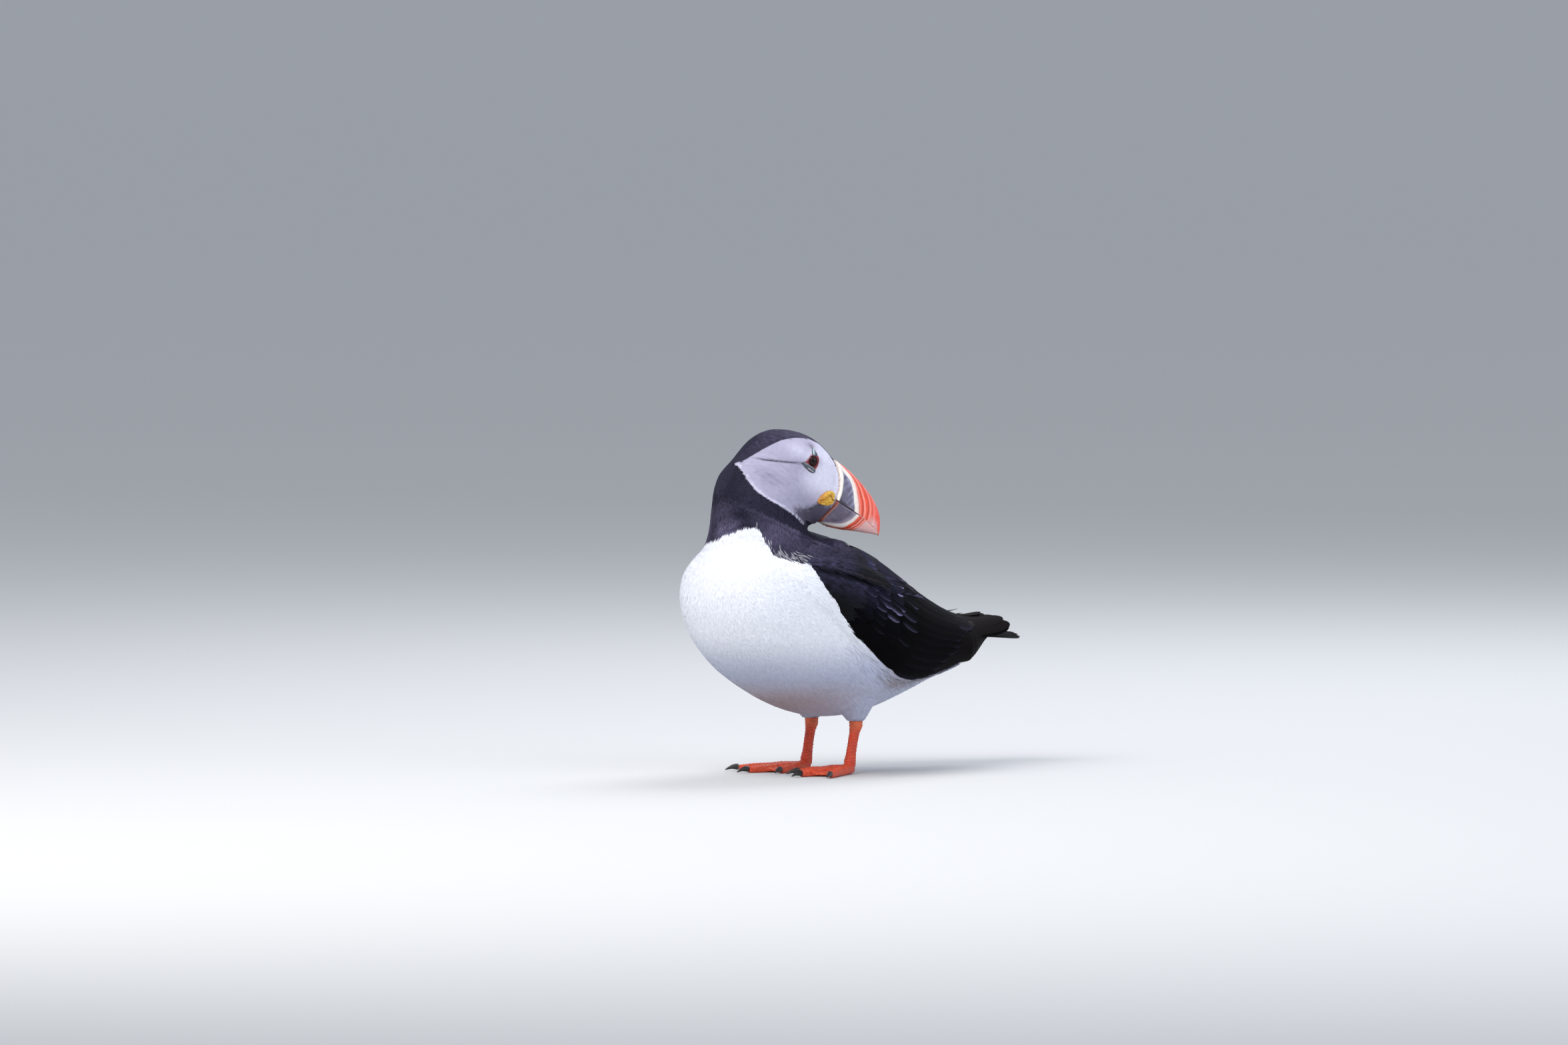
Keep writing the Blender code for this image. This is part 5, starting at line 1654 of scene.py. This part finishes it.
# ---------------------------------------------------------------- eyes, rings, plates and rosettes

PUPIL, IRIS = 12.5, 31.0  # half angles seen from the eye's middle
OPENING = (2.3, 2.85)  # half width and half height of the gap between the lids
OPENING_LEAN = math.radians(24.0)
RING_OUTLINE = [
    (-27.9, 11.5), (-25.4, 10.9), (-23.2, 10.5), (-21.2, 10.3), (-20.3, 10.8), (-20.0, 12.8),
    (-20.2, 14.6), (-20.7, 16.4), (-21.9, 17.9), (-23.6, 18.0), (-25.2, 17.6), (-26.0, 16.1),
    (-26.5, 13.9), (-27.2, 12.5),
]
UPPER_PLATE = [
    (-25.1, 16.8), (-23.9, 16.9), (-22.6, 17.4), (-22.8, 18.5), (-23.9, 19.6), (-25.4, 20.5),
    (-26.6, 20.9), (-26.4, 19.8), (-25.9, 18.4),
]
LOWER_PLATE = [
    (-28.7, 10.5), (-27.5, 9.5), (-25.6, 8.8), (-23.3, 8.2), (-21.4, 8.2), (-20.2, 9.1), (-20.5, 10.6),
    (-22.4, 11.2), (-24.8, 11.5), (-26.9, 11.8), (-28.4, 11.5),
]
ROSETTE = [
    (-12.0, -3.6), (-11.7, -1.9), (-10.9, 0.4), (-9.4, 2.5), (-7.6, 3.8), (-5.6, 3.9), (-4.2, 2.9),
    (-3.7, 1.2), (-2.9, -0.2), (-3.4, -2.3), (-5.3, -3.8), (-7.7, -4.8), (-10.1, -5.2), (-11.6, -4.8),
]
FOLD = [(-11.4, -3.7), (-9.5, -2.1), (-8.1, -0.2), (-6.9, 1.2), (-6.1, 0.9), (-4.8, 0.0), (-2.6, -0.1)]
RED = rgb(108, 16, 30)
RED_PINK = rgb(198, 84, 98)
RED_DARK = rgb(88, 16, 26)
RED_PALE = rgb(232, 176, 184)
SLATE = rgb(60, 68, 80)
SLATE_DARK = rgb(38, 42, 54)
# Painted highlight on the orbital plates.
SLATE_HIGHLIGHT = rgb(172, 192, 204)
YELLOW = rgb(218, 158, 34)
YELLOW_PALE = rgb(240, 198, 92)
# Painted shade in the rosette's folds and round its rim.
YELLOW_SHADE = rgb(138, 84, 22)
YELLOW_BROWN = rgb(190, 104, 36)
# Painted highlight streak on the lower orbital plate.
PLATE_STREAK_HIGHLIGHT = rgb(206, 198, 204)
PUPIL_BLACK = rgb(7, 6, 9)
IRIS_DARK = rgb(30, 15, 16)
IRIS_BROWN = rgb(54, 28, 28)
EYE_RIM = rgb(58, 14, 24)


def closed_curve(outline, count):
    """Even points round a smooth closed curve through an outline."""
    corners = np.array(outline, float)
    n = len(corners)
    t = np.linspace(0, n, count, endpoint=False)
    i = t.astype(int)
    f = (t - i)[:, None]
    a, b, c, d = (corners[(i + k) % n] for k in (-1, 0, 1, 2))
    return 0.5 * (2 * b + (c - a) * f + (2 * a - 5 * b + 4 * c - d) * f**2 + (3 * b - a - 3 * c + d) * f**3)


def on_face(u, v, side):
    """The outer surface on one side of the head at u and v, and the normal there."""
    flat = stacked(u.ravel(), side * 30.0, v.ravel())
    starts = head.world(flat)
    ways = np.tile(head.turn((0.0, -side, 0.0)), (len(starts), 1))
    hits = outer.cast(starts, ways)
    hits = np.where(np.isnan(hits), head.world(flat * (1, 0.3, 1)), hits)
    _, normals = outer.nearest(hits)
    return hits.reshape(u.shape + (3,)), normals.reshape(u.shape + (3,))


def disc_piece(name, points, tone, look, side):
    """A closed piece from rings that end in a small one on top and a wide one underneath."""
    faces = tube_faces(*points.shape[:2], side > 0)
    return make_piece(name, points, faces, look, tone)


def pad(name, outline, side, height, relief_at, look, sunk=1.2, count=96, rings=26):
    """A domed pad on the side of the head. relief_at gives extra height and colour at u, v and share."""
    shares = np.concatenate(((0.9, 1.0, 1.0), np.sqrt(np.linspace(1, 0, rings))[1:-1], (0.02,)))
    rim = closed_curve(outline, count)
    middle = rim.mean(axis=0)
    u, v = np.moveaxis(middle + (rim - middle)[None] * shares[:, None, None], -1, 0)
    base, normals = on_face(u, v, side)
    dome = height * np.sqrt(np.clip(1 - shares**2.4, 0, 1))[:, None]
    extra, tone = relief_at(u, v, np.repeat(shares[:, None], count, axis=1))
    dome = dome + extra
    dome[:3] = ((-sunk,), (-sunk * 0.5,), (0.05,))
    return disc_piece(name, base + normals * dome[..., None], tone, look, side)


def beside(u, v, start, end):
    """Distance to one side of a line and how far along it, from 0 to 1."""
    (u0, v0), (u1, v1) = start, end
    length = math.hypot(u1 - u0, v1 - v0)
    along = ((u - u0) * (u1 - u0) + (v - v0) * (v1 - v0)) / length**2
    return ((u - u0) * (v1 - v0) - (v - v0) * (u1 - u0)) / length, along


def plate_noise(u, v, length=1.6):
    return Waves(length).at(stacked(u, v, 0.0))


def upper_plate_relief(u, v, share):
    """A painted highlight down the middle, with dark edges."""
    noise = plate_noise(u, v)
    away, along = beside(u, v, (-26.5, 20.7), (-24.2, 17.2))
    # pale is the painted highlight down the plate's middle
    pale = hump(away - 0.1, 0.42) * step(-0.05, 0.2, along) * step(1.15, 0.85, along)
    tone = layered(
        u.shape, SLATE,
        (SLATE_HIGHLIGHT, np.clip(0.95 * pale + 0.08 * noise, 0, 1)),
        (SLATE_DARK, 0.9 * step(0.62, 0.92, share)),
    )
    return 0.02 * noise, tone


def lower_plate_relief(u, v, share):
    """A bar with a groove near its lower edge: painted shade in it, painted highlights below it and on top."""
    noise = plate_noise(u, v)
    away, along = beside(u, v, (-27.0, 9.9), (-20.6, 8.9))
    middle = step(-0.05, 0.15, along) * step(1.02, 0.8, along)
    # the painted highlight streak below the groove
    highlight_line = hump(away - 0.12, 0.22) * step(0.2, 0.4, along) * step(1.0, 0.8, along)
    tone = layered(
        u.shape, SLATE,
        # a fainter painted highlight along the bar's middle
        (SLATE_HIGHLIGHT * 0.6, np.clip(0.6 * hump(away + 1.5, 0.5) + 0.1 * noise, 0, 1)),
        (PLATE_STREAK_HIGHLIGHT, 0.9 * highlight_line),
        # painted shade in the groove; the plate's edges are dark too
        (SLATE_DARK, np.clip(0.8 * hump(away + 0.42, 0.2) * middle + 0.85 * step(0.84, 0.98, share), 0, 1)),
    )
    return 0.02 * noise - 0.14 * hump(away + 0.42, 0.25) * middle, tone


def rosette_relief(u, v, share):
    """Wrinkled skin with a deep fold from the corner of the gape back through the middle."""
    away = v - line_at(FOLD, u)
    fold = hump(away, 0.32) * step(-11.6, -10.2, u)
    second = hump(away + 1.5, 0.22) * step(-10.6, -9.4, u) * step(-6.6, -7.6, u)
    second = second + hump(away - 1.3, 0.2) * step(-9.8, -8.8, u) * step(-5.6, -6.6, u)
    lumps = plate_noise(u, v, 1.5)
    spokes = np.sin(np.arctan2(v - 0.6, u + 7.4) * 17 + 1.8 * lumps) * step(0.3, 0.8, share)
    rim = hump(share - 0.86, 0.10)
    tone = layered(
        u.shape, YELLOW,
        (YELLOW_PALE, np.clip(0.25 + 0.22 * lumps + 0.2 * spokes + 0.4 * rim, 0, 1)),
        (YELLOW_BROWN, 0.65 * step(-8.5, -11.0, u)),
        # painted shade in the folds
        (YELLOW_SHADE, np.clip(0.95 * fold + 0.6 * second, 0, 1)),
        # painted shadow round the rim
        (YELLOW_SHADE * 1.3, 0.4 * step(0.96, 1.0, share)),
    )
    return -0.55 * fold - 0.2 * second + 0.09 * lumps + 0.06 * spokes + 0.15 * rim, tone


def make_eye(word, side):
    """The eyeball: dark pupil, brown iris and the dark rim under the lids, with a bulging cornea."""
    centre = head.world((EYE_PLACE[0], side * EYE_PLACE[1], EYE_PLACE[2]))
    gaze = unit(head.turn((0.03, side, 0.02)))
    aside = unit(np.cross(gaze, head.rows[2]))
    above = np.cross(aside, gaze)
    half = np.concatenate((np.linspace(0, 40, 81)[1:], np.linspace(40, 180, 22)[1:-1]))
    turn = np.linspace(0, 2 * math.pi, 72, endpoint=False)
    a, b = np.meshgrid(np.radians(half), turn, indexing="ij")
    degrees = np.degrees(a)
    radius = EYE_RADIUS + 0.2 * hump(degrees, 24.0) - 0.2
    around = aside * np.cos(b)[..., None] + above * np.sin(b)[..., None]
    shape = gaze * np.cos(a)[..., None] + around * np.sin(a)[..., None]
    spokes = 0.5 + 0.5 * np.sin(b * 31 + 2 * np.sin(b * 7)) * np.sin(b * 13)
    iris = layered(a.shape, IRIS_DARK, (IRIS_BROWN, spokes * step(IRIS, PUPIL, degrees) ** 0.5))
    tone = layered(
        a.shape, PUPIL_BLACK,
        (iris, step(PUPIL - 1.5, PUPIL + 2.0, degrees)),
        (EYE_RIM, step(24.0, IRIS, degrees)),
    )
    points = centre + shape * radius[..., None]
    piece = disc_piece("eyeball_" + word, points, tone, eye_look, -side)
    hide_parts("eye_" + word)


def make_ring(word, side):
    """The red orbital ring: bare lid margins from the eyeball out to the feathers, with a corner behind."""
    outline = closed_curve(RING_OUTLINE, 120)
    middle = np.array((EYE_PLACE[0], EYE_PLACE[2]))
    way = outline - middle
    reach = np.linalg.norm(way, axis=1, keepdims=True)
    turn = np.arctan2(way[:, 1:], way[:, :1]) - OPENING_LEAN
    inner_reach = 1 / np.hypot(np.cos(turn) / OPENING[0], np.sin(turn) / OPENING[1])
    inner = middle + way / reach * inner_reach
    shares = np.array((1.0, 1.0, 0.92, 0.80, 0.66, 0.52, 0.38, 0.26, 0.16, 0.08, 0.02, 0.0, 0.0))[:, None]
    u, v = np.moveaxis(inner[None] + (outline - inner)[None] * shares[..., None], -1, 0)
    face_w = head.local(on_face(u, v, side)[0])[..., 1] * side
    away = np.hypot(u - middle[0], v - middle[1])
    ball_w = EYE_PLACE[1] + np.sqrt(np.clip(EYE_RADIUS**2 - away**2, 1.0, None)) + 0.12
    rest = mix(ball_w, face_w + 0.15, step(0.15, 0.85, shares))
    rest = np.maximum(rest, np.where(shares < 0.9, ball_w - 0.1, rest))
    w = rest + 0.22 * hump(shares - 0.25, 0.25) + 0.08 * hump(shares - 0.75, 0.15)
    w[0] -= 1.4
    w[-1] -= 0.9
    points = head.world(stacked(u, side * w, v))
    rear = step(-24.8, -26.2, u) * step(14.2, 13.0, v)
    tone = layered(
        u.shape, RED,
        (RED_PALE, 0.9 * step(0.74, 0.94, shares)),
        (RED_PINK, 0.85 * rear * step(0.1, 0.25, shares)),
        (RED_DARK, 0.6 * rear * hump(shares - 0.5, 0.12)),
        (RED_DARK, step(0.35, 0.0, shares)),
    )
    faces = ring_quads(len(u) + 1, u.shape[1]) % u.size
    if side > 0:
        faces = faces[:, ::-1]
    make_piece("orbital_ring_" + word, points, faces, lid_look, tone)


def make_face_parts():
    for word, side in (("left", 1), ("right", -1)):
        make_eye(word, side)
        make_ring(word, side)
        for place, outline, height, relief_at in (
            ("upper_", UPPER_PLATE, 0.7, upper_plate_relief), ("lower_", LOWER_PLATE, 0.8, lower_plate_relief)
        ):
            plate = pad("plate_" + place + word, outline, side, height, relief_at, plate_look)
            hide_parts("eye_plate_" + place + word)
        rosette = pad(
            "gape_rosette_" + word, ROSETTE, side, 1.5, rosette_relief, rosette_look,
            sunk=1.5, count=160, rings=60,
        )
        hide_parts("rosette_" + word)


# ---------------------------------------------------------------- legs

LEG_ORANGE = rgb(224, 78, 34)
LEG_RED = rgb(196, 48, 24)
LEG_PALE = rgb(236, 130, 84)
CLAW_GREY = rgb(52, 46, 44)
CLAW_DARK = rgb(18, 17, 18)
LEG_VOXEL = 0.42
CLAW_VOXEL = 0.25


def make_leg(word, side):
    """Shank, toes and webs in one scaly skin, from the CAD solids."""
    nodes = ("shank_" + word, "foot_" + word)
    mesh = remeshed(joined_nodes(nodes, 0.22), LEG_VOXEL)
    surface = Surface(mesh, smoothed(mesh, 8))
    x, y, z = surface.points.T
    x, y = x - side * 18.2, y - trunk.origin[1] - 12.0
    shank = step(4.0, 8.0, z)
    rings = np.sin(z * 2 * math.pi / 1.7 + 0.8 * np.sin(np.arctan2(x, y) * 3))
    scutes = np.sin(np.hypot(x, y) * 2 * math.pi / 1.9) * step(1.9, 3.2, z)
    net = Waves(1.1).at(surface.points)
    height = 0.10 * rings * shank + 0.10 * scutes * (1 - shank) + 0.05 * net
    points = surface.points + surface.normals * (height * step(0.25, 0.9, z))[:, None]
    points[:, 2] = np.maximum(points[:, 2], 0.0)
    tone = layered(
        z.shape, LEG_ORANGE,
        # painted shade: redder and darker in the grooves between the scales
        (LEG_RED, np.clip(0.5 - height * 5, 0, 1) * 0.8),
        (LEG_PALE, 0.5 * step(20, 27, z) + 0.25 * np.clip(net, 0, 1) * (1 - shank)),
    )
    piece = make_piece("leg_" + word, points, surface.faces, leg_look, tone)
    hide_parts(*nodes)


def make_claws(word):
    nodes = ["claw_" + toe + "_" + word for toe in ("inner", "middle", "outer")]
    mesh = remeshed(joined_nodes(nodes, 0.12), CLAW_VOXEL)
    points = smoothed(mesh, 4)
    points[:, 2] = np.maximum(points[:, 2], 0.0)
    surface = Surface(mesh, points)
    tone = layered((len(points),), CLAW_GREY, (CLAW_DARK, spread_out(-points[:, 1], 0.0, 1.0)))
    piece = make_piece("claws_" + word, points, surface.faces, claw_look, tone)
    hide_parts(*nodes)


# ---------------------------------------------------------------- stage, light and camera

CAMERA_AZIMUTH = math.radians(50.0)
CAMERA_ELEVATION = math.radians(3.0)
CAMERA_LENS = 400.0
CAMERA_DISTANCE = 9.408
AIM_RIGHT, AIM_UP = -0.0241, 0.1346  # aimed point in the picture's plane, from between the feet
FLOOR_SIZE = 60.0


def make_stage():
    bpy.ops.mesh.primitive_plane_add(size=FLOOR_SIZE, location=(0, 0, -0.0002))
    floor = bpy.context.object
    floor.name = "floor"
    look = bpy.data.materials.new("floor")
    look.use_nodes = True
    nodes, links = look.node_tree.nodes, look.node_tree.links
    shader = set_sockets(nodes["Principled BSDF"], Roughness=0.85)
    noise = set_sockets(nodes.new("ShaderNodeTexNoise"), Scale=3.0)
    shade = set_sockets(nodes.new("ShaderNodeMapRange"), To_Min=0.60, To_Max=0.63)
    links.new(noise.outputs["Fac"], shade.inputs["Value"])
    links.new(shade.outputs["Result"], shader.inputs["Base Color"])
    floor.data.materials.append(look)
    world = bpy.data.worlds.new("studio")
    world.use_nodes = True
    set_sockets(world.node_tree.nodes["Background"], Color=(0.80, 0.86, 0.95, 1.0), Strength=0.62)
    bpy.context.scene.world = world
    bpy.context.scene.view_settings.view_transform = "Standard"


def place_facing(thing, back, at):
    """Put a light or the camera at a place, turned away from the direction at its back."""
    thing.location = at
    thing.rotation_euler = back.to_track_quat("Z", "Y").to_euler()
    bpy.context.scene.collection.objects.link(thing)


def way_to(azimuth, elevation):
    flat = math.cos(elevation)
    return Vector((math.sin(azimuth) * flat, -math.cos(azimuth) * flat, math.sin(elevation)))


def add_light(name, azimuth, elevation, distance, size, power, colour):
    data = bpy.data.lights.new(name, "AREA")
    data.shape = "DISK"
    data.size = size
    data.energy = power
    data.color = colour
    back = way_to(math.radians(azimuth), math.radians(elevation))
    place_facing(bpy.data.objects.new(name, data), back, Vector((0, 0, 0.1)) + back * distance)


def make_camera():
    right = Vector((math.cos(CAMERA_AZIMUTH), math.sin(CAMERA_AZIMUTH), 0.0))
    back = way_to(CAMERA_AZIMUTH, CAMERA_ELEVATION)
    feet = Vector((0.0, trunk.origin[1] * MM + 0.012, 0.0))
    aim = feet + right * AIM_RIGHT + back.cross(right) * AIM_UP
    data = bpy.data.cameras.new("camera")
    data.lens = CAMERA_LENS
    data.sensor_width = 36.0
    data.clip_end = 100.0
    camera = bpy.data.objects.new("camera", data)
    place_facing(camera, back, aim + back * CAMERA_DISTANCE)
    bpy.context.scene.camera = camera


# ---------------------------------------------------------------- putting it together

make_skin()
grow_head()
grow_neck()
grow_trunk()
grow_rear()
grow_fuzz()
lay_on_trunk("scapulars", scapular_rows(), mantle_edges)
for word, side in (("left", 1), ("right", -1)):
    lay_on_trunk("coverts_" + word, covert_rows(side), wing_edges(side))
    lay_on_trunk("quills_" + word, quill_rows(side), wing_edges(side), 15, WIDE_PATCH, 0.86)
    wing_tips(side)
tail_feathers()
make_mandible("mandible_upper", "bill_upper", True)
make_mandible("mandible_lower", "bill_lower", False)
make_face_parts()
for word, side in (("left", 1), ("right", -1)):
    make_leg(word, side)
    make_claws(word)

make_stage()
add_light("key", 10.0, 48.0, 1.6, 1.3, 22.0, (1.0, 0.98, 0.95))
add_light("fill", 95.0, 25.0, 1.8, 1.6, 8.0, (0.86, 0.90, 1.0))
add_light("rim", 205.0, 50.0, 1.6, 1.0, 14.0, (0.92, 0.94, 1.0))
make_camera()
